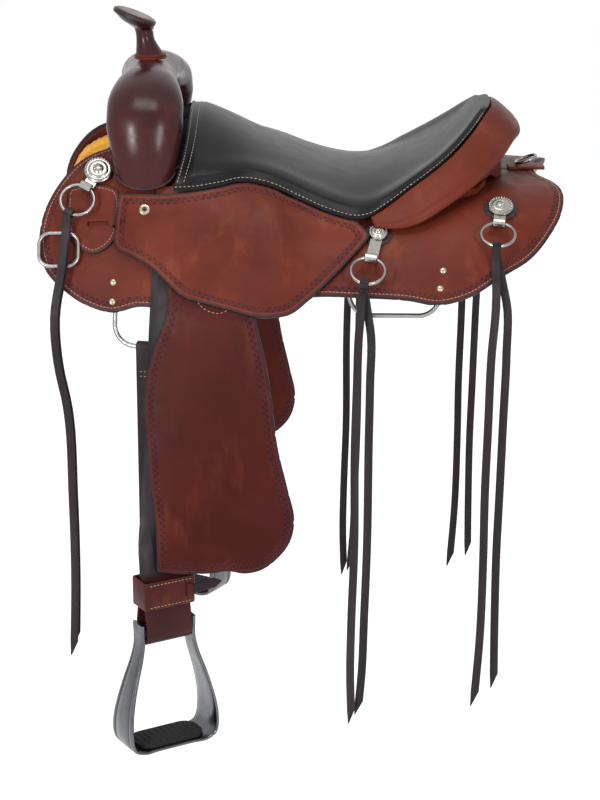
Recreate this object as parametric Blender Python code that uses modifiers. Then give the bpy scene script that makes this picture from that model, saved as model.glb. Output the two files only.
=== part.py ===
"""Western trail saddle on its tree, with fenders, aluminium stirrups and leather strings.

Metres, +Z up. The horn points towards -X, and the rider's left side, the near side, is -Y.
The origin is the middle of the horse's back, SEAT_LOW below the lowest point of the seat.
Every leather panel is cut flat as (x, s), where s is the distance from the middle of the back
measured over the saddle, and is then draped over the saddle's curved sides.
"""

import math

import bmesh
import bpy
import numpy as np
from mathutils import Matrix, Vector

NEAR = -1
OFF = 1
UP = Vector((0, 0, 1))
SIDES = (("near", NEAR), ("off", OFF))

# Gaps between pieces that touch, and between layers of leather
TOUCH = 0.0003
LAYER_GAP = 0.0006
FLEECE_GAP = 0.0015

# Saddle sides: outer face of the skirts, as (x, crown height, shoulder distance, low incline)
BACK = (
    (-0.335, 0.128, 0.116, 66),
    (-0.250, 0.140, 0.113, 66),
    (-0.160, 0.118, 0.136, 63),
    (-0.050, 0.094, 0.152, 60),
    (0.060, 0.0605, 0.177, 57),
    (0.150, 0.064, 0.176, 56),
    (0.250, 0.080, 0.158, 57),
    (0.335, 0.081, 0.126, 57),
)
SHOULDER_SPREAD = 0.048
SECTION_LENGTH = 0.40
SECTION_STEPS = 200
DRAPE_XS = 0.042
DRAPE_SS = (0.04, 0.08, 0.10, 0.12, 0.14, 0.16, 0.18, 0.20, 0.22, 0.24, 0.27)
HANG_SS = (0.285, 0.298, 0.311, 0.324, 0.337, 0.352, 0.380, 0.420, 0.470, 0.520, 0.570)

# Leather thicknesses
SKIRT_THICK = 0.0050
FLEECE_THICK = 0.0140
JOCKEY_THICK = 0.0042
FENDER_THICK = 0.0036
STRAP_THICK = 0.0034
COVER_THICK = 0.0030

# Room between skirt and jockey, where the fender passes and elsewhere
FENDER_ROOM = 0.0125
BAR_ROOM = 0.0095
CLOSE_ROOM = 0.0022
ROOM_MIDDLE_X = -0.115
ROOM_HALF = 0.080
ROOM_FADE = 0.050
BAR_FADE_S = (0.178, 0.215)

# Tree
BAR_X = (-0.232, 0.232)
BAR_S = (0.050, 0.138)
BAR_THICK = 0.0076
BAR_GAP = 0.0014
FORK_X = -0.190
FORK_SHELL = 0.0040
FORK_ROOM = 0.0012
CANTLE_BOARD_THICK = 0.011

# Seat
SEAT_LOW = 0.085
FOAM_THICK = 0.0040
GROUND_THICK = 0.0020
SEAT_COLUMNS = 8
FOAM_COLUMNS = 4
GROUND_COLUMNS = 3

# Cantle roll
ROLL_WIDTH = 0.050
ROLL_THICK = 0.0125
ROLL_SLOPE = 42
ROLL_GAP = 0.0012

# Horn
HORN_WRAP_THICK = 0.0030
HORN_CAP_THICK = 0.0065

# Fender and stirrup leather
PIVOT_X = -0.145
PIVOT_S = 0.168
STRAP_WIDTH = 0.063
STRAP_CLEAR = 0.0026
FENDER_STAND = 0.0130
FENDER_TURN = 14
TURN_Z = (-0.12, -0.36)
STAND_Z = (-0.06, -0.33)
TWIST_Z = (-0.300, -0.371)
FENDER_GAP = 0.0010
STIRRUP_TURN = 31
STIRRUP_X = -0.169
BOLT_Z = -0.448
BOLT_RADIUS = 0.0110
HOBBLE_TOP = -0.373
HOBBLE_HEIGHT = 0.036
HOBBLE_THICK = 0.0030
HOBBLE_SLACK = 0.0005
HOBBLE_CORNER = 0.0021

# Stirrup
STIRRUP_TOP_WIDTH = 0.076
STIRRUP_TREAD_WIDTH = 0.125
STIRRUP_HEIGHT = 0.152
STIRRUP_TOP_DEPTH = 0.026
STIRRUP_TREAD_DEPTH = 0.057
STIRRUP_WALL = 0.0046
PAD_LENGTH = 0.092
PAD_DEPTH = 0.046
PAD_THICK = 0.0050

# Conchos, string rings and strings
RING_RADIUS = 0.0205
RING_WIRE = 0.0020
EYE_INNER = 0.0045
CLIP_THICK = 0.0014
CLIP_WIDTH = 0.0140
STRING_WIDTH = 0.0110
STRING_THICK = 0.0026
STRING_SLACK = 0.0018

# Rigging
RIG_WIRE = 0.0030
RIG_CORNER = 0.026
RIG_WIDTH = 0.110
LATIGO_WIDTH = 0.044
LATIGO_X = -0.178
LATIGO_END_Z = -0.397
BILLET_END_Z = -0.330
BREAST_WIRE = 0.0025

RED_LEATHER = ("red leather", (0.20, 0.055, 0.035), 0.45, 0.0)
SWELL_LEATHER = ("swell leather", (0.14, 0.045, 0.045), 0.40, 0.0)
FENDER_LEATHER = ("fender leather", (0.11, 0.022, 0.018), 0.45, 0.0)
BLACK_LEATHER = ("black padded leather", (0.022, 0.022, 0.025), 0.42, 0.0)
DARK_LEATHER = ("dark strap leather", (0.035, 0.024, 0.026), 0.50, 0.0)
FLEECE = ("golden fleece", (0.45, 0.25, 0.08), 0.95, 0.0)
FOAM = ("foam", (0.55, 0.50, 0.40), 0.90, 0.0)
TREE_WOOD = ("covered wood", (0.50, 0.36, 0.20), 0.70, 0.0)
STEEL = ("steel", (0.55, 0.55, 0.56), 0.30, 1.0)
CHROME = ("plated steel", (0.75, 0.75, 0.76), 0.18, 1.0)
ALUMINIUM = ("aluminium", (0.70, 0.71, 0.72), 0.28, 1.0)
RUBBER = ("rubber", (0.02, 0.02, 0.02), 0.80, 0.0)


def clear_scene():
    for obj in list(bpy.data.objects):
        bpy.data.objects.remove(obj)


def new_collection(name):
    collection = bpy.data.collections.new(name)
    bpy.context.scene.collection.children.link(collection)
    return collection


def material(look):
    name, colour, roughness, metallic = look
    found = bpy.data.materials.get(name)
    if found:
        return found
    made = bpy.data.materials.new(name)
    made.use_nodes = True
    shader = made.node_tree.nodes["Principled BSDF"]
    shader.inputs["Base Color"].default_value = (*colour, 1.0)
    shader.inputs["Roughness"].default_value = roughness
    shader.inputs["Metallic"].default_value = metallic
    made.diffuse_color = (*colour, 1.0)
    return made


def add_mesh(name, bm, look, collection=None):
    """One object from a bmesh, welded and with its faces pointing out."""
    bmesh.ops.remove_doubles(bm, verts=bm.verts, dist=1e-6)
    bmesh.ops.recalc_face_normals(bm, faces=bm.faces)
    mesh = bpy.data.meshes.new(name)
    bm.to_mesh(mesh)
    bm.free()
    mesh.materials.append(material(look))
    mesh.shade_smooth()
    mesh.set_sharp_from_angle(angle=math.radians(35))
    obj = bpy.data.objects.new(name, mesh)
    (collection or SADDLE).objects.link(obj)
    return obj


def smooth_through(keys, values, at):
    """Cubic curve through the values at the keys, with slopes from the neighbours."""
    keys = np.asarray(keys, float)
    values = np.asarray(values, float)
    slopes = np.gradient(values, keys, axis=0)
    at = min(max(at, keys[0]), keys[-1])
    i = min(int(np.searchsorted(keys, at, side="right")) - 1, len(keys) - 2)
    span = keys[i + 1] - keys[i]
    t = (at - keys[i]) / span
    start = (2 * t**3 - 3 * t**2 + 1) * values[i] + (t**3 - 2 * t**2 + t) * span * slopes[i]
    end = (3 * t**2 - 2 * t**3) * values[i + 1] + (t**3 - t**2) * span * slopes[i + 1]
    return start + end


def smooth_path(points, count):
    """Evenly spaced points on a smooth curve through the given ones."""
    points = np.asarray(points, float)
    keys = np.concatenate([[0], np.cumsum(np.linalg.norm(np.diff(points, axis=0), axis=1))])
    return [smooth_through(keys, points, at) for at in np.linspace(0, keys[-1], count)]


def side_section(x):
    """Distances over the saddle at x, with the half-width, height and incline at each."""
    crown, shoulder, low = smooth_through([row[0] for row in BACK], [row[1:] for row in BACK], x)
    s = np.linspace(0, SECTION_LENGTH, SECTION_STEPS)
    incline = math.radians(low) * (0.5 + 0.5 * np.tanh((s - shoulder) / SHOULDER_SPREAD))
    middle = 0.5 * (incline[1:] + incline[:-1])
    step = s[1]
    y = np.concatenate([[0], np.cumsum(np.cos(middle) * step)])
    z = crown - np.concatenate([[0], np.cumsum(np.sin(middle) * step)])
    return s, y, z, incline


def on_saddle(x, s, lift):
    """Point of the off side at distance s over the saddle, lifted off the skirt's face."""
    ss, ys, zs, inclines = side_section(x)
    y = np.interp(s, ss, ys)
    z = np.interp(s, ss, zs)
    incline = np.interp(s, ss, inclines)
    return np.array((x, y + lift * math.sin(incline), z + lift * math.cos(incline)))


def incline_at(x, s):
    ss, _, _, inclines = side_section(x)
    return float(np.interp(s, ss, inclines))


def distance_at_height(x, z, lift):
    """Distance over the saddle at which a face lifted by lift stands at height z."""
    ss, _, zs, inclines = side_section(x)
    lifted = zs + lift * np.cos(inclines)
    return float(np.interp(-z, -lifted, ss))


def surface_frame(x, s, side):
    """Along-X, down-the-side and outward unit vectors of one side's surface."""
    incline = incline_at(x, s)
    down = Vector((0, side * math.cos(incline), -math.sin(incline)))
    out = Vector((0, side * math.sin(incline), math.cos(incline)))
    return Vector((1, 0, 0)), down, out


def eased(share):
    share = min(max(share, 0.0), 1.0)
    return share * share * (3 - 2 * share)


def room_for_fender(x):
    """Room under the jockey at x, wider where the fender passes."""
    beyond = (abs(x - ROOM_MIDDLE_X) - ROOM_HALF) / ROOM_FADE
    return FENDER_ROOM + (CLOSE_ROOM - FENDER_ROOM) * eased(beyond)


def room_under_jockey(x, s):
    """Lift of the jockey's inner face: over the tree bar, over the fender or close to the skirt."""
    start, end = BAR_FADE_S
    over_bar = BAR_ROOM + (CLOSE_ROOM - BAR_ROOM) * eased((s - start) / (end - start))
    return max(room_for_fender(x), over_bar)


def seen_edge(points, lift):
    """An edge given by its seen (x, height) points, as flat (x, s) points."""
    return [(x, distance_at_height(x, z, lift)) for x, z in points]


def panel(name, side, outline, drape, thickness, look):
    """A flat-cut outline of (x, s) points, divided into cells, thickened and draped."""
    bm = bmesh.new()
    bm.faces.new([bm.verts.new((x, s, 0)) for x, s in outline])
    xs = [x for x, _ in outline]
    cells = [((DRAPE_XS * i, 0, 0), (1, 0, 0)) for i in range(-9, 10)]
    reach = max(s for _, s in outline)
    cells += [((0, s, 0), (0, 1, 0)) for s in DRAPE_SS + HANG_SS if s < reach - 0.006]
    for place, normal in cells:
        if normal[0] and not min(xs) + 0.006 < place[0] < max(xs) - 0.006:
            continue
        geometry = bm.verts[:] + bm.edges[:] + bm.faces[:]
        bmesh.ops.bisect_plane(bm, geom=geometry, plane_co=place, plane_no=normal, dist=1e-5)
    bmesh.ops.dissolve_degenerate(bm, dist=1e-4, edges=bm.edges[:])
    bmesh.ops.triangulate(bm, faces=bm.faces[:])
    raised = bmesh.ops.extrude_face_region(bm, geom=bm.faces[:])
    for item in raised["geom"]:
        if isinstance(item, bmesh.types.BMVert):
            item.co.z = thickness
    for vert in bm.verts:
        x, y, z = drape(vert.co.x, vert.co.y, vert.co.z)
        vert.co = (x, side * y, z)
    return add_mesh(name, bm, look)


def loft(name, rings, look, closed=False, collection=None, strap=False):
    """A skin through rings of equal count, closed on itself or capped at both ends.

    A strap's cap is a strip of quads between its outer face and its inner one.
    """
    bm = bmesh.new()
    made = [[bm.verts.new(point) for point in ring] for ring in rings]
    count = len(made[0])
    pairs = list(zip(made, made[1:]))
    if closed:
        pairs.append((made[-1], made[0]))
    for first, second in pairs:
        for i in range(count):
            j = (i + 1) % count
            bm.faces.new((first[i], first[j], second[j], second[i]))
    for ring in () if closed else (made[0], made[-1]):
        if not strap:
            bm.faces.new(ring)
        else:
            for i in range(count // 2 - 1):
                bm.faces.new((ring[i], ring[i + 1], ring[count - 2 - i], ring[count - 1 - i]))
    return add_mesh(name, bm, look, collection)


def ribbon(name, path, widths, look, width, thickness, closed=False):
    """A strap: a flat section carried along a path, with its width along the given vectors."""
    rings = []
    count = len(path)
    for i, point in enumerate(path):
        if closed:
            tangent = path[(i + 1) % count] - path[i - 1]
        else:
            tangent = path[min(i + 1, count - 1)] - path[max(i - 1, 0)]
        across = Vector(widths[i]).normalized() * (width / 2)
        through = Vector(tangent).cross(across).normalized() * (thickness / 2)
        point = Vector(point)
        rings.append(
            (point - across - through, point + across - through, point + across + through, point - across + through)
        )
    return loft(name, rings, look, closed)


def wire(name, points, radius, look, closed=True):
    """A bent wire as a curve with a round bevel."""
    curve = bpy.data.curves.new(name, "CURVE")
    curve.dimensions = "3D"
    curve.bevel_depth = radius
    curve.bevel_resolution = 1
    curve.use_fill_caps = True
    spline = curve.splines.new("POLY")
    spline.points.add(len(points) - 1)
    for control, point in zip(spline.points, points):
        control.co = (*point, 1)
    spline.use_cyclic_u = closed
    curve.materials.append(material(look))
    obj = bpy.data.objects.new(name, curve)
    SADDLE.objects.link(obj)
    return obj


def turned_shape(name, profile, matrix, look, collection=None, steps=20):
    """A profile of (radius, height) points, top to bottom, turned about the matrix's Z axis."""
    mesh = bpy.data.meshes.new(name)
    edges = [(i, i + 1) for i in range(len(profile) - 1)]
    mesh.from_pydata([(radius, 0, height) for radius, height in profile], edges, [])
    mesh.materials.append(material(look))
    obj = bpy.data.objects.new(name, mesh)
    obj.matrix_world = matrix
    (collection or SADDLE).objects.link(obj)
    screw = obj.modifiers.new("turn", "SCREW")
    screw.steps = steps
    screw.render_steps = steps
    screw.use_merge_vertices = True
    screw.merge_threshold = 1e-5
    return obj


def boolean(obj, other, operation):
    change = obj.modifiers.new(operation.lower(), "BOOLEAN")
    change.operation = operation
    change.object = other
    change.solver = "EXACT"
    other.hide_render = True
    other.display_type = "WIRE"


def frame_matrix(origin, across, down, out):
    """Matrix whose X, Y and Z axes are the three given vectors."""
    made = Matrix((across, down, out)).transposed().to_4x4()
    made.translation = origin
    return made


def hang_on(name, point, pieces):
    """Parents moving pieces to an empty that lies on their joint's axis."""
    pivot = bpy.data.objects.new(name, None)
    pivot.empty_display_size = 0.02
    pivot.location = point
    SADDLE.objects.link(pivot)
    for piece in pieces:
        piece.parent = pivot
        piece.matrix_parent_inverse = Matrix.Translation(point).inverted()
    return pivot


# Seen outlines, as real (x, height) points in the side view

SKIRT_EDGE = (
    (-0.240, 0.126),
    (-0.268, 0.116),
    (-0.296, 0.090),
    (-0.314, 0.058),
    (-0.320, 0.024),
    (-0.311, -0.010),
    (-0.291, -0.030),
    (-0.262, -0.048),
    (-0.230, -0.055),
    (-0.196, -0.046),
    (-0.160, -0.048),
    (-0.110, -0.050),
    (-0.060, -0.044),
    (-0.010, -0.032),
    (0.030, -0.028),
    (0.080, -0.029),
    (0.130, -0.031),
    (0.165, -0.036),
    (0.205, -0.028),
    (0.245, -0.008),
    (0.280, 0.008),
    (0.306, 0.031),
    (0.322, 0.052),
)
SKIRT_REAR = ((0.327, 0.105), (0.318, 0.075), (0.303, 0.040), (0.300, 0.0012))
SKIRT_TOP = ((0.150, 0.0012), (0.120, 0.050), (0.0, 0.052), (-0.120, 0.052), (-0.215, 0.060))

FLEECE_EDGE = (
    (-0.246, 0.110),
    (-0.290, 0.084),
    (-0.308, 0.052),
    (-0.312, 0.024),
    (-0.300, -0.006),
    (-0.272, -0.028),
    (-0.244, -0.036),
    (-0.238, -0.012),
    (-0.170, -0.004),
    (-0.104, -0.012),
    (-0.098, -0.036),
    (-0.050, -0.036),
    (0.020, -0.018),
    (0.044, -0.018),
    (0.052, 0.010),
    (0.115, 0.016),
    (0.178, 0.010),
    (0.186, -0.020),
    (0.240, 0.000),
    (0.278, 0.018),
    (0.304, 0.040),
)
FLEECE_REAR = ((0.318, 0.100), (0.308, 0.070), (0.294, 0.036))
FLEECE_TOP = ((0.160, 0.034), (0.0, 0.046), (-0.120, 0.048), (-0.220, 0.058))

JOCKEY_EDGE = (
    (-0.226, 0.050),
    (-0.225, 0.020),
    (-0.204, 0.013),
    (-0.182, 0.003),
    (-0.162, -0.013),
    (-0.142, -0.028),
    (-0.112, -0.036),
    (-0.080, -0.043),
    (-0.045, -0.049),
    (-0.014, -0.046),
    (0.012, -0.030),
    (0.040, -0.006),
    (0.066, 0.018),
    (0.086, 0.036),
)

# Seat rows: middle (x, height), then the stitched edge, on the saddle's side as (x, height)
SEAT_SIDE_ROWS = (
    ((-0.139, 0.164), (-0.154, 0.090)),
    ((-0.119, 0.158), (-0.130, 0.091)),
    ((-0.090, 0.145), (-0.100, 0.095)),
    ((-0.055, 0.126), (-0.070, 0.099)),
    ((-0.021, 0.110), (-0.036, 0.093)),
    ((0.017, 0.095), (0.000, 0.078)),
    ((0.050, 0.087), (0.035, 0.065)),
    ((0.080, SEAT_LOW), (0.068, 0.058)),
)
# Then on the cantle's rim, as middle (x, height) and edge (x, half-width, height)
SEAT_RIM_ROWS = (
    ((0.100, 0.087), (0.086, 0.180, 0.060)),
    ((0.122, 0.093), (0.106, 0.169, 0.070)),
    ((0.150, 0.103), (0.134, 0.157, 0.089)),
    ((0.177, 0.118), (0.162, 0.143, 0.107)),
    ((0.201, 0.136), (0.190, 0.122, 0.127)),
    ((0.221, 0.154), (0.214, 0.093, 0.148)),
    ((0.2415, 0.1735), (0.234, 0.052, 0.167)),
)
RIM_ROWS = 12
SEAT_CROWN_POWER = 2.2
SEAT_SWEEP_POWER = 4.0


def seat_rows():
    """Middle and edge point of every seat row, on the off side."""
    rows = []
    for (mx, mz), (ex, ez) in SEAT_SIDE_ROWS:
        lift = max(room_for_fender(ex), BAR_ROOM) + JOCKEY_THICK + COVER_THICK + 2 * LAYER_GAP
        edge = on_saddle(ex, distance_at_height(ex, ez, lift), lift)
        rows.append((np.array((mx, 0, mz)), edge))
    rim = [(mx, mz, *edge) for (mx, mz), edge in SEAT_RIM_ROWS]
    for mx, mz, ex, ey, ez in smooth_path(rim, RIM_ROWS):
        rows.append((np.array((mx, 0, mz)), np.array((ex, ey, ez))))
    return rows


def seat_point(middle, edge, share):
    """Point of a seat row, at a share of its way from the middle to the off edge."""
    x = middle[0] + (edge[0] - middle[0]) * abs(share) ** SEAT_SWEEP_POWER
    z = middle[2] + (edge[2] - middle[2]) * abs(share) ** SEAT_CROWN_POWER
    return np.array((x, edge[1] * share, z))


def seat_layer(name, top, thickness, wide, rows, look):
    """A layer of the seat: the seat's surface lowered by top, as thick as given, some columns wide."""
    shares = [column / SEAT_COLUMNS for column in range(-wide, wide + 1)]
    grid = [[seat_point(middle, edge, at) - (0, 0, top) for at in shares] for middle, edge in rows]
    bm = bmesh.new()
    upper = [[bm.verts.new(point) for point in row] for row in grid]
    lower = [[bm.verts.new(point - (0, 0, thickness)) for point in row] for row in grid]
    rows_count = len(grid)
    columns = len(shares)
    for layer in (upper, lower):
        for i in range(rows_count - 1):
            for j in range(columns - 1):
                bm.faces.new((layer[i][j], layer[i][j + 1], layer[i + 1][j + 1], layer[i + 1][j]))
    rim = [(i, 0) for i in range(rows_count)]
    rim += [(rows_count - 1, j) for j in range(1, columns)]
    rim += [(i, columns - 1) for i in range(rows_count - 2, -1, -1)]
    rim += [(0, j) for j in range(columns - 2, 0, -1)]
    for (i, j), (k, m) in zip(rim, rim[1:] + rim[:1]):
        bm.faces.new((upper[i][j], upper[k][m], lower[k][m], lower[i][j]))
    bmesh.ops.remove_doubles(bm, verts=bm.verts, dist=1e-5)
    bmesh.ops.dissolve_degenerate(bm, dist=1e-5, edges=bm.edges[:])
    return add_mesh(name, bm, look)


def make_seat():
    rows = seat_rows()
    seat_layer("seat_cover", 0, COVER_THICK, SEAT_COLUMNS, rows, BLACK_LEATHER)
    foam_top = COVER_THICK + LAYER_GAP
    seat_layer("seat_foam", foam_top, FOAM_THICK, FOAM_COLUMNS, rows[:-2], FOAM)
    ground_top = foam_top + FOAM_THICK + LAYER_GAP
    seat_layer("ground_seat", ground_top, GROUND_THICK, GROUND_COLUMNS, rows[:-3], RED_LEATHER)


def cantle_rim():
    """The seat's edge round the cantle, from its off corner over the rear to the near one."""
    rows = seat_rows()[len(SEAT_SIDE_ROWS) :]
    off = [edge for _, edge in rows]
    middle, edge = rows[-1]
    rear = [seat_point(middle, edge, share) for share in (0.75, 0.5, 0.25)]
    off += rear
    near = [np.array((x, -y, z)) for x, y, z in off]
    return off + [middle] + near[::-1]


def rim_frames():
    """Rim points with their outward plan normals and their share of the way round, 0 to 1."""
    points = cantle_rim()
    frames = []
    for i, point in enumerate(points):
        tangent = points[min(i + 1, len(points) - 1)] - points[max(i - 1, 0)]
        outward = Vector((-tangent[1], tangent[0], 0)).normalized()
        frames.append((Vector(point), outward, i / (len(points) - 1)))
    return frames


def make_cantle_roll():
    rings = []
    slope = math.radians(ROLL_SLOPE)
    for point, outward, share in rim_frames():
        along = outward * math.cos(slope) - UP * math.sin(slope)
        through = outward * math.sin(slope) + UP * math.cos(slope)
        full = 0.30 + 0.70 * min(1.0, 3.2 * math.sin(math.pi * share)) ** 0.8
        half = ROLL_WIDTH / 2 * full
        centre = point + along * (half + ROLL_GAP) - UP * (ROLL_THICK * 0.25)
        ring = []
        for step in range(12):
            turn = 2 * math.pi * step / 12
            a = math.copysign(abs(math.cos(turn)) ** 0.8, math.cos(turn))
            b = math.copysign(abs(math.sin(turn)) ** 0.8, math.sin(turn))
            ring.append(centre + along * (a * half) + through * (b * ROLL_THICK / 2 * full))
        rings.append(ring)
    loft("cantle_roll", rings, RED_LEATHER)


def under_roll(outward):
    """How far the underside of the roll lies below the rim, at a distance outward of it."""
    slope = math.radians(ROLL_SLOPE)
    return outward * math.tan(slope) + 0.75 * ROLL_THICK / math.cos(slope) + 0.001


def height_over(x, y, lift):
    """Height at a half-width y of a face that lies lift above the skirts."""
    _, ys, zs, inclines = side_section(x)
    return float(np.interp(abs(y), ys + lift * np.sin(inclines), zs + lift * np.cos(inclines)))


def rim_wall(name, inner, outer, shares, look):
    """An upright wall under the cantle roll, between two distances outward of the rim."""
    rings = []
    for point, outward, share in rim_frames():
        if not shares[0] <= share <= shares[1]:
            continue
        ring = []
        for distance in (inner, outer):
            foot = point + outward * distance
            over_bars = foot.x < BAR_X[1] + 0.008
            lift = BAR_ROOM + LAYER_GAP if over_bars else 2 * LAYER_GAP
            low = height_over(foot.x, foot.y, lift)
            high = point.z - under_roll(distance)
            ring += [(foot.x, foot.y, max(high, low + 0.004)), (foot.x, foot.y, low)]
        rings.append((ring[0], ring[1], ring[3], ring[2]))
    loft(name, rings, look)


def make_cantle():
    make_cantle_roll()
    board_in = 0.0015
    board_out = board_in + CANTLE_BOARD_THICK
    rim_wall("tree_cantle", board_in, board_out, (0.20, 0.80), TREE_WOOD)
    back_in = board_out + LAYER_GAP
    rim_wall("cantle_back", back_in, back_in + COVER_THICK, (0.20, 0.80), RED_LEATHER)


def make_panels(side_name, side):
    skirt = seen_edge(SKIRT_EDGE, 0) + list(SKIRT_REAR) + list(SKIRT_TOP)
    panel(
        f"skirt_{side_name}",
        side,
        skirt,
        lambda x, s, level: on_saddle(x, s, level - SKIRT_THICK),
        SKIRT_THICK,
        RED_LEATHER,
    )
    fleece_top = -SKIRT_THICK - FLEECE_GAP
    fleece = seen_edge(FLEECE_EDGE, fleece_top) + list(FLEECE_REAR) + list(FLEECE_TOP)
    panel(
        f"fleece_{side_name}",
        side,
        fleece,
        lambda x, s, level: on_saddle(x, s, fleece_top - FLEECE_THICK + level),
        FLEECE_THICK,
        FLEECE,
    )
    jockey = [(x, distance_at_height(x, z, room_for_fender(x) + JOCKEY_THICK)) for x, z in JOCKEY_EDGE]
    top = []
    for (_, _), (ex, ez) in reversed(SEAT_SIDE_ROWS):
        lift = max(room_for_fender(ex), BAR_ROOM) + JOCKEY_THICK
        seat_lift = lift + COVER_THICK + 2 * LAYER_GAP
        top.append((ex, distance_at_height(ex, ez, seat_lift) + 0.001))
    fork_clear = FORK_FOOT_S + FORK_FOOT_HALF + 0.004
    top[-1] = (top[-1][0], max(top[-1][1], fork_clear))
    top += [(-0.190, fork_clear + 0.002), (-0.222, fork_clear)]
    panel(
        f"jockey_{side_name}",
        side,
        jockey + top,
        lambda x, s, level: on_saddle(x, s, room_under_jockey(x, s) + level),
        JOCKEY_THICK,
        RED_LEATHER,
    )
    (front, rear), (inner, outer) = BAR_X, BAR_S
    middle = (inner + outer) / 2
    bar = [
        (front, middle + 0.020),
        (front, middle - 0.016),
        (front + 0.014, inner + 0.006),
        (front + 0.060, inner),
        (rear - 0.050, inner),
        (rear - 0.008, inner + 0.012),
        (rear, middle),
        (rear - 0.012, outer - 0.014),
        (rear - 0.050, outer),
        (front + 0.040, outer),
        (front + 0.010, outer - 0.010),
    ]
    panel(
        f"tree_bar_{side_name}",
        side,
        bar,
        lambda x, s, level: on_saddle(x, s, BAR_GAP + level),
        BAR_THICK,
        TREE_WOOD,
    )


# Fork: the arch over the withers, as (half-width, height, half-length in X, half-thickness)
FORK_FOOT_S = 0.145
FORK_FOOT_HALF = 0.028
FORK_ARCH = (
    (0.139, 0.153, 0.0460, 0.0260),
    (0.131, 0.171, 0.0470, 0.0270),
    (0.113, 0.187, 0.0460, 0.0260),
    (0.083, 0.197, 0.0410, 0.0250),
    (0.048, 0.200, 0.0350, 0.0240),
    (0.018, 0.200, 0.0310, 0.0240),
    (0.0, 0.200, 0.0300, 0.0240),
)
FORK_RING = 16


def fork_sections(grow, longer=0.0):
    """Rings of the whole arch, each half-size changed by grow, with the feet made longer."""
    foot = on_saddle(FORK_X, FORK_FOOT_S, BAR_ROOM + LAYER_GAP)
    _, _, out = surface_frame(FORK_X, FORK_FOOT_S, OFF)
    end = Vector((out.y, out.z))
    rows = [(foot[1], foot[2], 0.036, FORK_FOOT_HALF, end)]
    if longer:
        rows.insert(0, (foot[1] - end.x * longer, foot[2] - end.y * longer, 0.036, FORK_FOOT_HALF, end))
    points = [Vector((y, z)) for y, z, _, _ in FORK_ARCH]
    for i, (y, z, half_x, half_in) in enumerate(FORK_ARCH):
        before = points[i - 1] if i else Vector((foot[1], foot[2]))
        after = points[i + 1] if i + 1 < len(points) else Vector((-points[-2].x, points[-2].y))
        rows.append((y, z, half_x, half_in, (after - before).normalized()))
    rings = []
    for y, z, half_x, half_in, tangent in rows:
        inward = Vector((tangent.y, -tangent.x))
        ring = []
        for step in range(FORK_RING):
            turn = 2 * math.pi * step / FORK_RING
            a = math.cos(turn) * (half_x + grow)
            b = math.sin(turn) * (half_in + grow)
            ring.append(Vector((FORK_X + a, y + inward.x * b, z + inward.y * b)))
        rings.append(ring)
    mirrored = [[Vector((p.x, -p.y, p.z)) for p in ring] for ring in rings[:-1]]
    return rings + mirrored[::-1]


def make_fork():
    loft("tree_fork", fork_sections(-FORK_SHELL), TREE_WOOD)
    cover = loft("swell_cover", fork_sections(0), SWELL_LEATHER)
    hollow = loft("fork_hollow", fork_sections(FORK_ROOM - FORK_SHELL, 0.012), TREE_WOOD, collection=CUTTERS)
    boolean(cover, hollow, "DIFFERENCE")
    radius = HORN_NECK[0][2] - HORN_WRAP_THICK
    top = FORK_ARCH[-1][1] + 2 * FORK_ARCH[-1][3]
    bore = ((0, top), (radius, top), (radius, FORK_ARCH[-1][1]), (0, FORK_ARCH[-1][1]))
    bore = turned_shape("horn_bore", bore, Matrix.Translation((FORK_X, 0, 0)), STEEL, CUTTERS)
    boolean(cover, bore, "DIFFERENCE")


# Horn: rings from the neck's foot to the cap's edge, as (x, height, radius, tilt in degrees)
HORN_NECK = (
    (-0.190, 0.2258, 0.0190, 0),
    (-0.1945, 0.240, 0.0135, -3),
    (-0.1975, 0.257, 0.0115, 4),
    (-0.2025, 0.264, 0.0170, 14),
    (-0.2085, 0.271, 0.0250, 20),
    (-0.2100, 0.2745, 0.0272, 21),
)


def tilted_ring(x, z, radius, tilt, count=18):
    slant = math.radians(tilt)
    across = Vector((math.cos(slant), 0, -math.sin(slant)))
    turns = [2 * math.pi * i / count for i in range(count)]
    return [Vector((x, 0, z)) + across * (radius * math.cos(t)) + Vector((0, radius * math.sin(t), 0)) for t in turns]


def make_horn():
    wrap = loft("horn_wrap", [tilted_ring(*row) for row in HORN_NECK], SWELL_LEATHER)
    inside = [(x, z, radius - HORN_WRAP_THICK, tilt) for x, z, radius, tilt in HORN_NECK]
    foot_x, foot_z, foot_radius, _ = inside[0]
    rise = Vector((math.sin(math.radians(HORN_NECK[-1][3])), 0, math.cos(math.radians(HORN_NECK[-1][3]))))
    top_x, top_z, top_radius, top_tilt = inside[-1]
    above = (top_x + 0.004 * rise.x, top_z + 0.004 * rise.z, top_radius, top_tilt)
    hollow = [(foot_x, foot_z - 0.004, foot_radius, 0)] + inside + [above]
    cutter = loft("horn_hollow", [tilted_ring(*row) for row in hollow], STEEL, collection=CUTTERS)
    boolean(wrap, cutter, "DIFFERENCE")
    core = [(x, z, radius - TOUCH, tilt) for x, z, radius, tilt in inside]
    fork_top = FORK_ARCH[-1][1] + FORK_ARCH[-1][3] - FORK_SHELL
    core.insert(0, (FORK_X, fork_top + TOUCH, foot_radius - TOUCH, 0))
    loft("horn_core", [tilted_ring(*row) for row in core], STEEL)
    cap_x, cap_z, cap_radius, cap_tilt = HORN_NECK[-1]
    lifts = ((0.0004, cap_radius - 0.0008), (0.0012, cap_radius), (0.0050, cap_radius), (HORN_CAP_THICK, cap_radius - 0.0030))
    cap = [tilted_ring(cap_x + up * rise.x, cap_z + up * rise.z, radius, cap_tilt) for up, radius in lifts]
    loft("horn_cap_cover", cap, SWELL_LEATHER)


# Sheet in which the stirrup leather hangs: over the skirt to its edge, then down
HANG_LOW = 84.5
HANG_FROM_Z = -0.058
HANG_SPREAD = 0.022
HANG_LENGTH = 0.64
HANG_STEPS = 320


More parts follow.
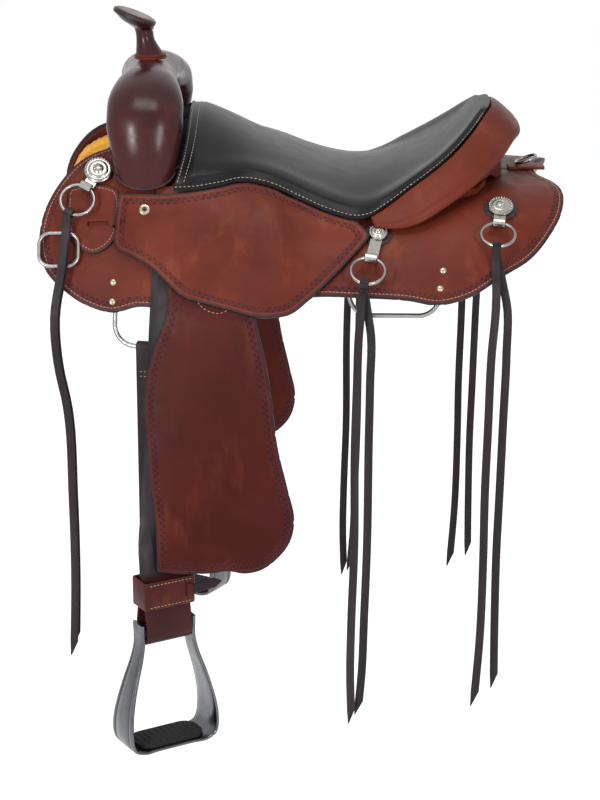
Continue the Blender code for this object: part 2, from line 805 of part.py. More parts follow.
def hanging_section(x):
    """Distances over the saddle and down the hanging strap, with half-width, height and incline."""
    ss, _, _, inclines = side_section(x)
    edge = distance_at_height(x, HANG_FROM_Z, 0)
    s = np.linspace(0, HANG_LENGTH, HANG_STEPS)
    surface = np.interp(s, ss, inclines)
    share = 0.5 + 0.5 * np.tanh((s - edge) / HANG_SPREAD)
    incline = surface + (math.radians(HANG_LOW) - surface) * share
    middle = 0.5 * (incline[1:] + incline[:-1])
    crown = on_saddle(x, 0, 0)[2]
    y = np.concatenate([[0], np.cumsum(np.cos(middle) * s[1])])
    z = crown - np.concatenate([[0], np.cumsum(np.sin(middle) * s[1])])
    return s, y, z, incline


def strap_middle_x(z):
    """Middle of the hanging strap at a height: it leans forward as it goes down."""
    share = min(max((0.05 - z) / (0.05 - TWIST_Z[1]), 0), 1)
    return PIVOT_X + (STIRRUP_X - PIVOT_X) * share


def share_between(z, heights):
    start, end = heights
    return eased((start - z) / (start - end))


def on_hanging(x, s, lift):
    """Point of the off side's hanging sheet, which turns outwards at its front as it goes down."""
    ss, ys, zs, inclines = hanging_section(x)
    incline = np.interp(s, ss, inclines)
    y = np.interp(s, ss, ys) + lift * math.sin(incline)
    z = np.interp(s, ss, zs) + lift * math.cos(incline)
    turn = math.radians(FENDER_TURN) * share_between(z, TURN_Z)
    if not turn:
        return np.array((x, y, z))
    middle_x = strap_middle_x(z)
    _, middle_ys, middle_zs, _ = hanging_section(middle_x)
    middle_y = np.interp(-z, -middle_zs, middle_ys)
    dx = x - middle_x
    dy = y - middle_y
    x = middle_x + dx * math.cos(turn) + dy * math.sin(turn)
    y = middle_y + dy * math.cos(turn) - dx * math.sin(turn)
    return np.array((x, y, z))


def hang_distance(x, z, lift):
    ss, _, zs, inclines = hanging_section(x)
    lifted = zs + lift * np.cos(inclines)
    return float(np.interp(-z, -lifted, ss))


def fender_lift(x, s):
    """Lift of the fender's inner face, which stands off the turned strap at its lower end."""
    _, _, z = on_hanging(x, s, 0)
    off = FENDER_STAND * share_between(z, STAND_Z)
    return STRAP_CLEAR + STRAP_THICK + FENDER_GAP + off


FENDER_EDGE = (
    (-0.176, 0.020),
    (-0.164, -0.012),
    (-0.160, -0.044),
    (-0.167, -0.068),
    (-0.177, -0.092),
    (-0.186, -0.124),
    (-0.190, -0.160),
    (-0.188, -0.205),
    (-0.186, -0.255),
    (-0.182, -0.300),
    (-0.181, -0.368),
    (-0.150, -0.3715),
    (-0.118, -0.3715),
    (-0.095, -0.370),
    (-0.078, -0.374),
    (-0.058, -0.371),
    (-0.038, -0.357),
    (-0.022, -0.335),
    (-0.016, -0.306),
    (-0.021, -0.268),
    (-0.030, -0.210),
    (-0.034, -0.160),
    (-0.040, -0.112),
    (-0.050, -0.070),
    (-0.058, -0.040),
    (-0.072, 0.010),
    (-0.100, 0.048),
    (-0.160, 0.052),
)


STRAP_LIFT = STRAP_CLEAR + STRAP_THICK / 2


def stirrup_frame(side):
    """Centre of the stirrup bolt with the vectors along it and outwards from the horse."""
    _, y, _ = on_hanging(STIRRUP_X, hang_distance(STIRRUP_X, HOBBLE_TOP, 0), STRAP_LIFT)
    twist = math.radians(STIRRUP_TURN)
    along = Vector((math.cos(twist), -side * math.sin(twist), 0))
    out = Vector((math.sin(twist), side * math.cos(twist), 0))
    return Vector((STIRRUP_X, side * y, BOLT_Z)), along, out


STRAP_HEIGHTS = (-0.300, -0.22, -0.15, -0.11, -0.092, -0.080, -0.070, -0.060, -0.050, -0.040, -0.028)
STRAP_HEIGHTS += (-0.012, 0.004, 0.020, 0.036, 0.052, 0.070, 0.088)
BEND_STEPS = (-60, -30, 0, 30, 60)
BOLT_LOOP = (BOLT_RADIUS + 2 * TOUCH) / math.cos(math.radians(15)) + STRAP_THICK / 2


STRAP_COLUMNS = (-0.5, -0.25, 0.0, 0.25, 0.5)
STRAP_FOLDED = STRAP_THICK / 2 + LAYER_GAP


def make_stirrup_leather(side_name, side):
    """One strap: up the back of the fender's strap, round the bolt and up to the tree bar."""
    centre, along, out = stirrup_frame(side)
    rings = []

    def hung(z, lift, outside):
        """A section in the hanging sheet; outside is 1 where its outer face is away from the horse."""
        faces = []
        for half in (outside * STRAP_THICK / 2, -outside * STRAP_THICK / 2):
            face = []
            for share in STRAP_COLUMNS:
                x = strap_middle_x(z) + share * STRAP_WIDTH
                _, y, height = on_hanging(x, hang_distance(x, z, lift), lift + half)
                face.append(Vector((x, side * y, height)))
            faces.append(face)
        rings.append(faces[0] + faces[1][::-1])

    def placed(middle, width, outwards):
        faces = []
        for half in (STRAP_THICK / 2, -STRAP_THICK / 2):
            faces.append([middle + width * (share * STRAP_WIDTH) + outwards * half for share in STRAP_COLUMNS])
        rings.append(faces[0] + faces[1][::-1])

    def turned(z, share, direction):
        """A layer of the loop, part of the way into its twist."""
        x = strap_middle_x(z)
        lift = STRAP_LIFT - (0 if direction > 0 else STRAP_THICK + LAYER_GAP)
        s = hang_distance(x, z, lift)
        front, rear = (on_hanging(x + dx, s, lift) for dx in (-STRAP_WIDTH / 2, STRAP_WIDTH / 2))
        hanging = Vector((rear[0] - front[0], side * (rear[1] - front[1]), 0)).normalized()
        apart = BOLT_LOOP + (STRAP_FOLDED - BOLT_LOOP) * eased((z - BOLT_Z) / (TWIST_Z[1] - BOLT_Z))
        middle = Vector(((front[0] + rear[0]) / 2, side * (front[1] + rear[1]) / 2, z))
        middle = middle.lerp(Vector((centre.x, centre.y, z)) + out * (direction * apart), share)
        width = hanging.lerp(along, share).normalized()
        outwards = UP.cross(width) * side * direction
        placed(middle, width, outwards)

    start, end = TWIST_Z
    steps = [(start + (end - start) * share, eased(share)) for share in (0.25, 0.5, 0.75, 1.0)]
    steps += [(z, 1.0) for z in (-0.392, -0.412, -0.430, BOLT_Z)]
    hung(start + 0.02, STRAP_LIFT - STRAP_THICK - LAYER_GAP, -1)
    hung(start, STRAP_LIFT - STRAP_THICK - LAYER_GAP, -1)
    for z, share in steps:
        turned(z, share, -1)
    for degrees in BEND_STEPS:
        turn = math.radians(degrees)
        away = out * math.sin(turn) - UP * math.cos(turn)
        placed(centre + away * BOLT_LOOP, along, away)
    for z, share in reversed(steps):
        turned(z, share, 1)
    for z in STRAP_HEIGHTS:
        hung(z, STRAP_LIFT, 1)
    return loft(f"stirrup_leather_{side_name}", rings, DARK_LEATHER, strap=True)


def rounded_loop(half_a, half_b, corner, steps=3):
    """Closed flat outline of a rounded rectangle, as (a, b) pairs."""
    points = []
    for quarter, (sign_a, sign_b) in enumerate(((1, 1), (-1, 1), (-1, -1), (1, -1))):
        for step in range(steps + 1):
            turn = math.pi / 2 * (quarter + step / steps)
            points.append(
                (
                    sign_a * (half_a - corner) + corner * math.cos(turn),
                    sign_b * (half_b - corner) + corner * math.sin(turn),
                )
            )
    return points


def fender_pivot(side):
    """Where the stirrup leather swings on the tree bar."""
    x, y, z = on_saddle(PIVOT_X, PIVOT_S, STRAP_LIFT)
    return Vector((x, side * y, z))


def make_fender_group(side_name, side):
    fender = []
    for x, z in FENDER_EDGE:
        middle = strap_middle_x(z)
        turn = math.radians(FENDER_TURN) * share_between(z, TURN_Z)
        flat_x = middle + (x - middle) / math.cos(turn)
        fender.append((flat_x, hang_distance(flat_x, z, STRAP_CLEAR + STRAP_THICK + FENDER_GAP)))
    skin = panel(
        f"fender_{side_name}",
        side,
        fender,
        lambda x, s, level: on_hanging(x, s, fender_lift(x, s) + level),
        FENDER_THICK,
        FENDER_LEATHER,
    )
    leather = make_stirrup_leather(side_name, side)
    centre, along, out = stirrup_frame(side)
    wall = HOBBLE_SLACK + HOBBLE_THICK / 2
    half_a = STRAP_WIDTH / 2 + wall
    half_b = BOLT_LOOP + STRAP_THICK / 2 + wall
    middle_z = HOBBLE_TOP - 0.004 - HOBBLE_HEIGHT / 2
    path = [centre + along * a + out * b for a, b in rounded_loop(half_a, half_b, HOBBLE_CORNER)]
    path = [Vector((p.x, p.y, middle_z)) for p in path]
    hobble = ribbon(
        f"hobble_strap_{side_name}", path, [UP] * len(path), FENDER_LEATHER, HOBBLE_HEIGHT, HOBBLE_THICK, True
    )
    hang_on(f"fender_pivot_{side_name}", fender_pivot(side), (skin, leather, hobble))


STIRRUP_LEG = (
    (0.0, 0.014, 0.0),
    (0.0, -0.016, 0.0),
    (0.16, -0.034, 0.10),
    (0.50, -0.060, 0.34),
    (0.78, -0.085, 0.58),
    (0.96, -0.108, 0.82),
    (1.0, -0.124, 0.96),
    (0.96, -0.136, 1.0),
    (0.80, -0.1455, 1.0),
)


def make_stirrup(side_name, side):
    centre, along, out = stirrup_frame(side)
    top_half = (STIRRUP_TOP_WIDTH - STIRRUP_WALL) / 2
    tread_half = (STIRRUP_TREAD_WIDTH - STIRRUP_WALL) / 2
    deeper = STIRRUP_TREAD_DEPTH - STIRRUP_TOP_DEPTH
    tread_z = STIRRUP_WALL / 2 - STIRRUP_HEIGHT
    half = []
    for wide, z, deep in STIRRUP_LEG:
        half.append((top_half + wide * (tread_half - top_half), z, STIRRUP_TOP_DEPTH + deep * deeper))
    half.append((PAD_LENGTH / 2 + 0.0005, tread_z, STIRRUP_TREAD_DEPTH))
    sections = [(-u, z, depth) for u, z, depth in half] + half[::-1]
    rings = []
    for i, (u, z, depth) in enumerate(sections):
        before = Vector(sections[max(i - 1, 0)][:2])
        after = Vector(sections[min(i + 1, len(sections) - 1)][:2])
        tangent = (after - before).normalized()
        through = (along * -tangent.y + UP * tangent.x) * (STIRRUP_WALL / 2)
        across = out * (depth / 2)
        point = centre + along * u + UP * z
        rings.append((point - across - through, point + across - through, point + across + through, point - across + through))
    frame = loft(f"stirrup_{side_name}", rings, ALUMINIUM)
    bolt_half = STIRRUP_TOP_WIDTH / 2 - STIRRUP_WALL - TOUCH
    bolt = ((0, bolt_half), (BOLT_RADIUS, bolt_half), (BOLT_RADIUS, -bolt_half), (0, -bolt_half))
    bolt = turned_shape(f"stirrup_bolt_{side_name}", bolt, frame_matrix(centre, UP.cross(along), UP, along), STEEL, steps=16)
    pad_low = tread_z + STIRRUP_WALL / 2 + TOUCH
    outline = rounded_loop(PAD_LENGTH / 2, PAD_DEPTH / 2, 0.017)
    low = [centre + along * a + out * b + UP * pad_low for a, b in outline]
    high = [point + UP * PAD_THICK for point in low]
    pad = loft(f"tread_pad_{side_name}", (low, high), RUBBER)
    hang_on(f"stirrup_pivot_{side_name}", centre, (frame, bolt, pad))


# Conchos: seen (x, height), radius, turn of the clip forwards, distance to its eye, lift of the eye
CONCHOS = (
    ("front", -0.248, 0.101, 0.0165, 29, 0.0285, 0.0120),
    ("mid", 0.095, 0.036, 0.0115, 12, 0.0450, 0.0078),
    ("rear", 0.246, 0.062, 0.0150, 7, 0.0345, 0.0078),
)
# Face of a concho, as shares of its radius with heights above its clip
CONCHO_PROFILE = ((0, 0.0050), (0.55, 0.0045), (0.92, 0.0028), (1.0, 0.0018), (1.0, 0.0010))
CONCHO_POST = 0.0035


def concho_frame(x, z, turn, side):
    s = distance_at_height(x, z, 0)
    across, down, out = surface_frame(x, s, side)
    px, py, pz = on_saddle(x, s, 0)
    turn = math.radians(turn)
    forward_down = down * math.cos(turn) - across * math.sin(turn)
    turned_across = across * math.cos(turn) + down * math.sin(turn)
    return Vector((px, side * py, pz)), turned_across, forward_down, out


def make_concho(place, side_name, side):
    name, x, z, radius, turn, eye, lift = place
    origin, across, down, out = concho_frame(x, z, turn, side)
    curl = EYE_INNER + CLIP_THICK / 2
    plate = lift - curl
    profile = [(share * radius, plate + height) for share, height in CONCHO_PROFILE]
    profile += [(CONCHO_POST, plate + CONCHO_PROFILE[-1][1]), (CONCHO_POST, LAYER_GAP), (0, LAYER_GAP)]
    matrix = frame_matrix(origin, down.cross(out), down, out)
    concho = turned_shape(f"concho_{name}_{side_name}", profile, matrix, CHROME)
    eye_at = origin + down * eye + out * lift
    path = [origin + down * 0.001 + out * plate]
    for degrees in range(-90, 211, 30):
        turned = math.radians(degrees)
        path.append(eye_at + down * (curl * math.cos(turned)) + out * (curl * math.sin(turned)))
    clip = ribbon(f"clip_{name}_{side_name}", path, [across] * len(path), CHROME, CLIP_WIDTH, CLIP_THICK)
    SADDLE.objects.unlink(clip)
    CUTTERS.objects.link(clip)
    boolean(concho, clip, "UNION")
    turns = [2 * math.pi * i / 22 for i in range(22)]
    ring_at = eye_at + down * RING_RADIUS
    circle = [ring_at + across * (RING_RADIUS * math.sin(t)) - down * (RING_RADIUS * math.cos(t)) for t in turns]
    ring = wire(f"string_ring_{name}_{side_name}", circle, RING_WIRE, CHROME)
    return ring, eye_at, (ring_at + down * RING_RADIUS, across, down, out)


# Tails of the strings below their ring: (x, height) points chosen along the hanging leather
STRING_TAILS = {
    "front": (
        ((-0.290, 0.000), (-0.299, -0.060), (-0.296, -0.120), (-0.287, -0.170), (-0.283, -0.290), (-0.283, -0.400), (-0.287, -0.502)),
        ((-0.288, 0.000), (-0.297, -0.060), (-0.294, -0.120), (-0.285, -0.170), (-0.281, -0.290), (-0.281, -0.400), (-0.284, -0.490)),
    ),
    "mid": (
        ((0.071, -0.068), (0.069, -0.134), (0.067, -0.212), (0.067, -0.345), (0.064, -0.445), (0.063, -0.510), (0.065, -0.581)),
        ((0.085, -0.068), (0.085, -0.134), (0.084, -0.212), (0.083, -0.345), (0.080, -0.445), (0.078, -0.510), (0.073, -0.572)),
    ),
    "rear": (
        ((0.236, -0.040), (0.232, -0.100), (0.230, -0.190), (0.228, -0.280), (0.228, -0.360), (0.226, -0.470), (0.220, -0.563)),
        ((0.250, -0.040), (0.251, -0.100), (0.249, -0.190), (0.247, -0.280), (0.245, -0.360), (0.245, -0.450), (0.246, -0.542)),
    ),
}
# Height from which each string hangs, and the lift of its two tails over the leather
STRING_EDGE = {"front": (-0.045, 0.0180, 0.0140), "mid": (-0.030, 0.0110, 0.0045), "rear": (-0.016, 0.0110, 0.0050)}
STRING_TAIL_POINTS = 14


def tail_path(edge_z, side, tail, lift, start):
    """One tail from its fold down over the skirt's edge, then hanging."""
    points = [start]
    near = [(start.x + (tail[0][0] - start.x) * share, start.z + (tail[0][1] - start.z) * share) for share in (0.3, 0.7)]
    edge_x = tail[0][0]
    lip = on_saddle(edge_x, distance_at_height(edge_x, edge_z, lift), lift)[1]
    for x, z in near + list(tail):
        if z > edge_z:
            y = on_saddle(x, distance_at_height(x, z, lift), lift)[1]
        else:
            y = lip + min(0.004, (edge_z - z) * 0.1)
        points.append(Vector((x, side * y, z)))
    points = [np.array(point) for point in points]
    keys = np.concatenate([[0], np.cumsum([np.linalg.norm(b - a) for a, b in zip(points, points[1:])])])
    shares = np.linspace(0, 1, STRING_TAIL_POINTS) ** 1.7
    return [Vector(smooth_through(keys, points, keys[-1] * share)) for share in shares]


def make_string(name, side_name, side, hold):
    wire_at, across, down, out = hold
    fold = RING_WIRE + STRING_SLACK + STRING_THICK / 2
    left, right = STRING_TAILS[name]
    edge_z, front_lift, back_lift = STRING_EDGE[name]
    front = tail_path(edge_z, side, left, front_lift, wire_at + out * fold + down * 0.004)
    back = tail_path(edge_z, side, right, back_lift, wire_at - out * fold + down * 0.004)
    turn = [math.radians(degrees) for degrees in (0, 45, 90, 135, 180)]
    over = [wire_at + out * (fold * math.cos(t)) - down * (fold * math.sin(t)) for t in turn]
    path = front[::-1] + over + back
    return ribbon(f"strings_{name}_{side_name}", path, [across] * len(path), DARK_LEATHER, STRING_WIDTH, STRING_THICK)


# Rigging dees: middle x, heights of the centres of the top and bottom bars, and how far
# the flat dee's top bar is let out towards the curved skirt
RIG_DEES = (("front", -0.1715, -0.027, -0.098, 0.0012), ("rear", 0.115, 0.000, -0.056, 0.0003))
RIG_HANG = 80


def rig_frame(x, top, let_out, side):
    """Middle of a rigging dee's top bar, with its across, down and outward vectors."""
    ends = []
    for at in (x - RIG_WIDTH / 2, x, x + RIG_WIDTH / 2):
        s = distance_at_height(at, top, 0)
        _, y, z = on_saddle(at, s, -SKIRT_THICK - RIG_WIRE + let_out)
        ends.append(Vector((at, side * y, 0)))
    across = (ends[2] - ends[0]).normalized()
    inward = min(0.0, side * (ends[1].y - (ends[0].y + ends[2].y) / 2))
    origin = Vector((x, (ends[0].y + ends[2].y) / 2 + side * inward, z))
    slant = math.radians(RIG_HANG)
    outward = Vector((0, side, 0))
    outward -= across * outward.dot(across)
    outward.normalize()
    down = outward * math.cos(slant) - UP * math.sin(slant)
    return origin, across, down


def rig_bottom(place, side):
    """Middle of the bottom bar of a rigging dee, with its across and down vectors."""
    _, x, top, bottom, let_out = place
    origin, across, down = rig_frame(x, top, let_out, side)
    return origin + down * ((origin.z - bottom) / math.sin(math.radians(RIG_HANG))), across, down


def make_rig_dee(place, side_name, side):
    name, x, top, _, let_out = place
    origin, across, down = rig_frame(x, top, let_out, side)
    low, _, _ = rig_bottom(place, side)
    outline = rounded_loop(RIG_WIDTH / 2, (low - origin).length / 2, RIG_CORNER, 4)
    middle = (origin + low) / 2
    points = [middle + across * a - down * b for a, b in outline]
    wire(f"rigging_dee_{name}_{side_name}", points, RIG_WIRE, STEEL)


def make_latigo(name, side, end_z):
    low, across, _ = rig_bottom(RIG_DEES[0], side)
    bar = low + across * ((LATIGO_X - low.x) / across.x)
    fold = RIG_WIRE + 2 * TOUCH + STRAP_THICK / 2
    out = across.cross(UP) * -side
    out *= side * out.y / abs(out.y)
    front = []
    for z in np.linspace(end_z, bar.z - 0.02, 7):
        point = bar + out * fold
        front.append(Vector((point.x, point.y, z)))
    over = [bar + out * (fold * math.cos(t)) + UP * (fold * math.sin(t)) for t in np.linspace(0, math.pi, 7)]
    back = [bar - out * fold - UP * d for d in (0.03, 0.08)]
    path = front + over + back
    strap = ribbon(name, path, [across] * len(path), DARK_LEATHER, LATIGO_WIDTH, STRAP_THICK)
    hang_on(f"{name}_pivot", bar, [strap])


KEEPER_EDGE = (
    (-0.286, 0.078),
    (-0.287, 0.050),
    (-0.281, 0.028),
    (-0.268, 0.015),
    (-0.254, 0.010),
    (-0.240, 0.015),
    (-0.227, 0.028),
    (-0.221, 0.050),
    (-0.222, 0.078),
)
KEEPER_GAP = 0.0014
KEEPER_SLOT = (-0.2475, 0.044, 0.026, 0.006)
BREAST_DEE = (-0.295, 0.016, 0.0265, 0.0175)
BREAST_LIFT = 0.0005


def make_breast_rigging(side_name, side):
    lift = KEEPER_GAP
    thick = COVER_THICK
    keeper = panel(
        f"latigo_keeper_{side_name}",
        side,
        seen_edge(KEEPER_EDGE, lift),
        lambda x, s, level: on_saddle(x, s, lift + level),
        thick,
        RED_LEATHER,
    )
    x, z, length, height = KEEPER_SLOT
    s = distance_at_height(x, z, 0)
    across, down, out = surface_frame(x, s, side)
    px, py, pz = on_saddle(x, s, 0.002)
    bpy.ops.mesh.primitive_cube_add(size=1)
    slot = bpy.context.object
    slot.name = f"keeper_slot_{side_name}"
    slot.data.transform(Matrix.Diagonal((length, height, 0.02, 1)))
    slot.matrix_world = frame_matrix(Vector((px, side * py, pz)), across, down * side, out)
    for owner in list(slot.users_collection):
        owner.objects.unlink(slot)
    CUTTERS.objects.link(slot)
    boolean(keeper, slot, "DIFFERENCE")
    x, z, half_x, half_s = BREAST_DEE
    over = lift + thick + TOUCH + BREAST_WIRE
    s = distance_at_height(x, z, over)
    across, down, _ = surface_frame(x, s, side)
    px, py, pz = on_saddle(x, s, over + BREAST_LIFT)
    middle = Vector((px, side * py, pz))
    outline = rounded_loop(half_x - BREAST_WIRE, half_s + 0.003, 0.014, 4)
    wire(f"breast_dee_{side_name}", [middle + across * a + down * b for a, b in outline], BREAST_WIRE, STEEL)


CRUPPER_TAB = (0.268, 0.314, 0.030, 0.0040)
CRUPPER_BAR_X = 0.279
CRUPPER_DEE = (0.026, 0.013, 0.0020)
CRUPPER_RISE = 20


def make_crupper():
    front, rear, width, thick = CRUPPER_TAB
    path = []
    for x in np.linspace(front, rear, 4):
        path.append(Vector((x, 0, on_saddle(x, 0, LAYER_GAP + thick / 2)[2])))
    ribbon("crupper_tab", path, [Vector((0, 1, 0))] * 4, RED_LEATHER, width, thick)
    length, half, radius = CRUPPER_DEE
    top = on_saddle(CRUPPER_BAR_X, 0, LAYER_GAP + thick + 2 * TOUCH + radius)[2]
    rise = math.radians(CRUPPER_RISE)
    away = Vector((math.cos(rise), 0, math.sin(rise)))
    outline = rounded_loop(length / 2, half, 0.010, 4)
    middle = Vector((CRUPPER_BAR_X, 0, top)) + away * (length / 2)
    points = [middle + away * a + Vector((0, b, 0)) for a, b in outline]
    dee = wire("crupper_dee", points, radius, CHROME)
    hang_on("crupper_pivot", Vector((CRUPPER_BAR_X, 0, top)), [dee])


def main():
    make_seat()
    make_cantle()
    make_fork()
    make_horn()
    make_crupper()
    for side_name, side in SIDES:
        make_panels(side_name, side)
        make_fender_group(side_name, side)
        make_stirrup(side_name, side)
        for place in CONCHOS:
            ring, eye_at, hold = make_concho(place, side_name, side)
            held = [ring]
            if (side, place[0]) != (OFF, "front"):
                held.append(make_string(place[0], side_name, side, hold))
            hang_on(f"ring_pivot_{place[0]}_{side_name}", eye_at, held)
        for place in RIG_DEES:
            make_rig_dee(place, side_name, side)
        make_breast_rigging(side_name, side)
    make_latigo("latigo_near", NEAR, LATIGO_END_Z)
    make_latigo("off_billet", OFF, BILLET_END_Z)


clear_scene()
SADDLE = new_collection("trail_saddle")
CUTTERS = new_collection("cutters")
main()
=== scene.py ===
"""A western trail saddle in oiled leather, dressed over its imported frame.

Metres, +Z up. The horn points to -X, and the near side, which the camera sees, is -Y.
Leather panels are cut flat as (x, s), s being the distance over the saddle from the middle
of the back, and are then laid over its sides.
"""

import math
from functools import lru_cache

import bmesh
import bpy
import numpy as np
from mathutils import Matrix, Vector
from mathutils.kdtree import KDTree


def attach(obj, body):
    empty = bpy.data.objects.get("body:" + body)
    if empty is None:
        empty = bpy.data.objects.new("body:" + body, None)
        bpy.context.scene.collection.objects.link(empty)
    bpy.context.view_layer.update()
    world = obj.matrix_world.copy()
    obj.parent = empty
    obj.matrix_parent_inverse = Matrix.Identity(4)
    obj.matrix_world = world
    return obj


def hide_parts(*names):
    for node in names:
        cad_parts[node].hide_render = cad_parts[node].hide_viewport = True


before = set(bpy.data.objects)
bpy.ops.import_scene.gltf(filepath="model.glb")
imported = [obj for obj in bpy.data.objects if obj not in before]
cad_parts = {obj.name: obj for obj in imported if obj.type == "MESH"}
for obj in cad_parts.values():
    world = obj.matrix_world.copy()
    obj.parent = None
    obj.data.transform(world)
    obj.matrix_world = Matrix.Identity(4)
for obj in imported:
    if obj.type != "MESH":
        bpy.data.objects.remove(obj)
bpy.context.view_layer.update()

UP = Vector((0, 0, 1))
ACROSS = Vector((0, 1, 0))
NEAR = -1
OFF = 1
SIDES = (("near", NEAR), ("off", OFF))
SADDLE = "saddle_body"

# Camera

CAMERA_AT = (0.0, -2.926, 0.6627)
CAMERA_AIM = (0.0, 0.0, -0.232)
PHOTO_HEIGHT = 36.0
LENS = 103.5


def point_at(obj, at, aim):
    obj.rotation_euler = (Vector(aim) - Vector(at)).to_track_quat("-Z", "Y").to_euler()


def set_camera():
    bpy.ops.object.camera_add(location=CAMERA_AT)
    camera = bpy.context.object
    camera.name = "camera"
    point_at(camera, CAMERA_AT, CAMERA_AIM)
    camera.data.sensor_fit = "VERTICAL"
    camera.data.sensor_height = PHOTO_HEIGHT
    camera.data.lens = LENS
    camera.data.clip_start = 0.05
    bpy.context.scene.camera = camera


set_camera()

# The saddle's sides: outer face of the skirts, as x, crown height, shoulder distance, low incline

BACK = (
    (-0.335, 0.128, 0.116, 66), (-0.250, 0.140, 0.113, 66), (-0.160, 0.118, 0.136, 63),
    (-0.050, 0.094, 0.152, 60), (0.060, 0.0605, 0.177, 57), (0.150, 0.064, 0.176, 56),
    (0.250, 0.080, 0.158, 57), (0.335, 0.081, 0.126, 57),
)
SIDE_LENGTH = 0.40
SIDE_STEPS = 200
SHOULDER_SPREAD = 0.048
TOUCH = 0.0003
LAYER_GAP = 0.0006
FLEECE_GAP = 0.0015
SKIRT_THICK = 0.0050
FLEECE_THICK = 0.0140
JOCKEY_THICK = 0.0042
FENDER_THICK = 0.0036
STRAP_THICK = 0.0034
COVER_THICK = 0.0030
FENDER_ROOM = 0.0125
BAR_ROOM = 0.0095
CLOSE_ROOM = 0.0022
ROOM_MIDDLE_X = -0.115
ROOM_HALF = 0.080
ROOM_FADE = 0.050
BAR_EDGE_S = 0.178
BAR_FADE = 0.037

# The sheet in which the stirrup leathers and fenders hang

HANG_LENGTH = 0.64
HANG_STEPS = 320
HANG_LOW = 84.5
HANG_FROM_Z = -0.058
HANG_SPREAD = 0.022
STRAP_CLEAR = 0.0026
STRAP_WIDTH = 0.063
STRAP_TOP_Z = 0.05
STRAP_DROP = 0.421
PIVOT_X = -0.145
STIRRUP_X = -0.169
STIRRUP_TURN = 31
BOLT_Z = -0.448
HOBBLE_TOP = -0.373
FENDER_TURN = 14
FENDER_TURN_Z = -0.12
FENDER_TURN_DROP = 0.24
FENDER_LIFT = STRAP_CLEAR + STRAP_THICK + 0.0010
FENDER_BELLY = 0.0130
FENDER_BELLY_Z = -0.06
FENDER_BELLY_DROP = 0.27


def running(steps):
    """The sum so far, from 0."""
    return np.concatenate([[0], np.cumsum(steps)])


def path_keys(points):
    """The way along a path to each of its points."""
    return running(np.linalg.norm(np.diff(points, axis=0), axis=1))


def interp_point(at, keys, points):
    return np.stack([np.interp(at, keys, points[:, k]) for k in range(3)], axis=-1)


def unit(rows):
    return rows / np.maximum(np.linalg.norm(rows, axis=-1)[..., None], 1e-9)


def smooth_through(keys, values, at):
    """Cubic curve through the values at the keys, with slopes from the neighbours."""
    keys = np.asarray(keys, float)
    values = np.asarray(values, float)
    slopes = np.gradient(values, keys, axis=0)
    at = min(max(at, keys[0]), keys[-1])
    i = min(int(np.searchsorted(keys, at, side="right")) - 1, len(keys) - 2)
    span = keys[i + 1] - keys[i]
    t = (at - keys[i]) / span
    start = (2 * t**3 - 3 * t**2 + 1) * values[i] + (t**3 - 2 * t**2 + t) * span * slopes[i]
    end = (3 * t**2 - 2 * t**3) * values[i + 1] + (t**3 - t**2) * span * slopes[i + 1]
    return start + end


def smooth_path(points, count):
    points = np.asarray(points, float)
    keys = path_keys(points)
    return [smooth_through(keys, points, at) for at in np.linspace(0, keys[-1], count)]


def ramp(s, middle, spread):
    return 0.5 + 0.5 * np.tanh((s - middle) / spread)


def swept(crown, s, incline):
    """Section that starts level at the crown and leans down by the inclines: s, y, z, incline."""
    middle = 0.5 * (incline[1:] + incline[:-1])
    return s, running(np.cos(middle) * s[1]), crown - running(np.sin(middle) * s[1]), incline


@lru_cache(maxsize=None)
def side_section(x):
    crown, shoulder, low = smooth_through([row[0] for row in BACK], [row[1:] for row in BACK], x)
    s = np.linspace(0, SIDE_LENGTH, SIDE_STEPS)
    return swept(crown, s, math.radians(low) * ramp(s, shoulder, SHOULDER_SPREAD))


def on_saddle(x, s, lift):
    """Point of the off side at distance s over the saddle, lifted off the skirt's face."""
    ss, ys, zs, inclines = side_section(round(x, 5))
    incline = np.interp(s, ss, inclines)
    y = np.interp(s, ss, ys) + lift * math.sin(incline)
    return np.array((x, y, np.interp(s, ss, zs) + lift * math.cos(incline)))


def distance_at_height(x, z, lift):
    ss, _, zs, inclines = side_section(round(x, 5))
    return float(np.interp(-z, -(zs + lift * np.cos(inclines)), ss))


def surface_frame(x, s, side):
    ss, _, _, inclines = side_section(round(x, 5))
    incline = float(np.interp(s, ss, inclines))
    down = Vector((0, side * math.cos(incline), -math.sin(incline)))
    out = Vector((0, side * math.sin(incline), math.cos(incline)))
    return Vector((1, 0, 0)), down, out


def spot(x, z, side, lift, more=0.0):
    """The point seen at (x, z) at a lift off the skirts, with its directions across, down and out."""
    s = distance_at_height(x, z, lift)
    px, py, pz = on_saddle(x, s, lift + more)
    return Vector((px, side * py, pz)), *surface_frame(x, s, side)


def eased(share):
    share = min(max(share, 0.0), 1.0)
    return share * share * (3 - 2 * share)


def room_for_fender(x):
    return FENDER_ROOM + (CLOSE_ROOM - FENDER_ROOM) * eased((abs(x - ROOM_MIDDLE_X) - ROOM_HALF) / ROOM_FADE)


def room_under_jockey(x, s):
    over_bar = BAR_ROOM + (CLOSE_ROOM - BAR_ROOM) * eased((s - BAR_EDGE_S) / BAR_FADE)
    return max(room_for_fender(x), over_bar)


def seat_lift(x):
    return max(room_for_fender(x), BAR_ROOM) + JOCKEY_THICK + COVER_THICK + 2 * LAYER_GAP


def seen_edge(points, lift):
    return [(x, distance_at_height(x, z, lift)) for x, z in points]


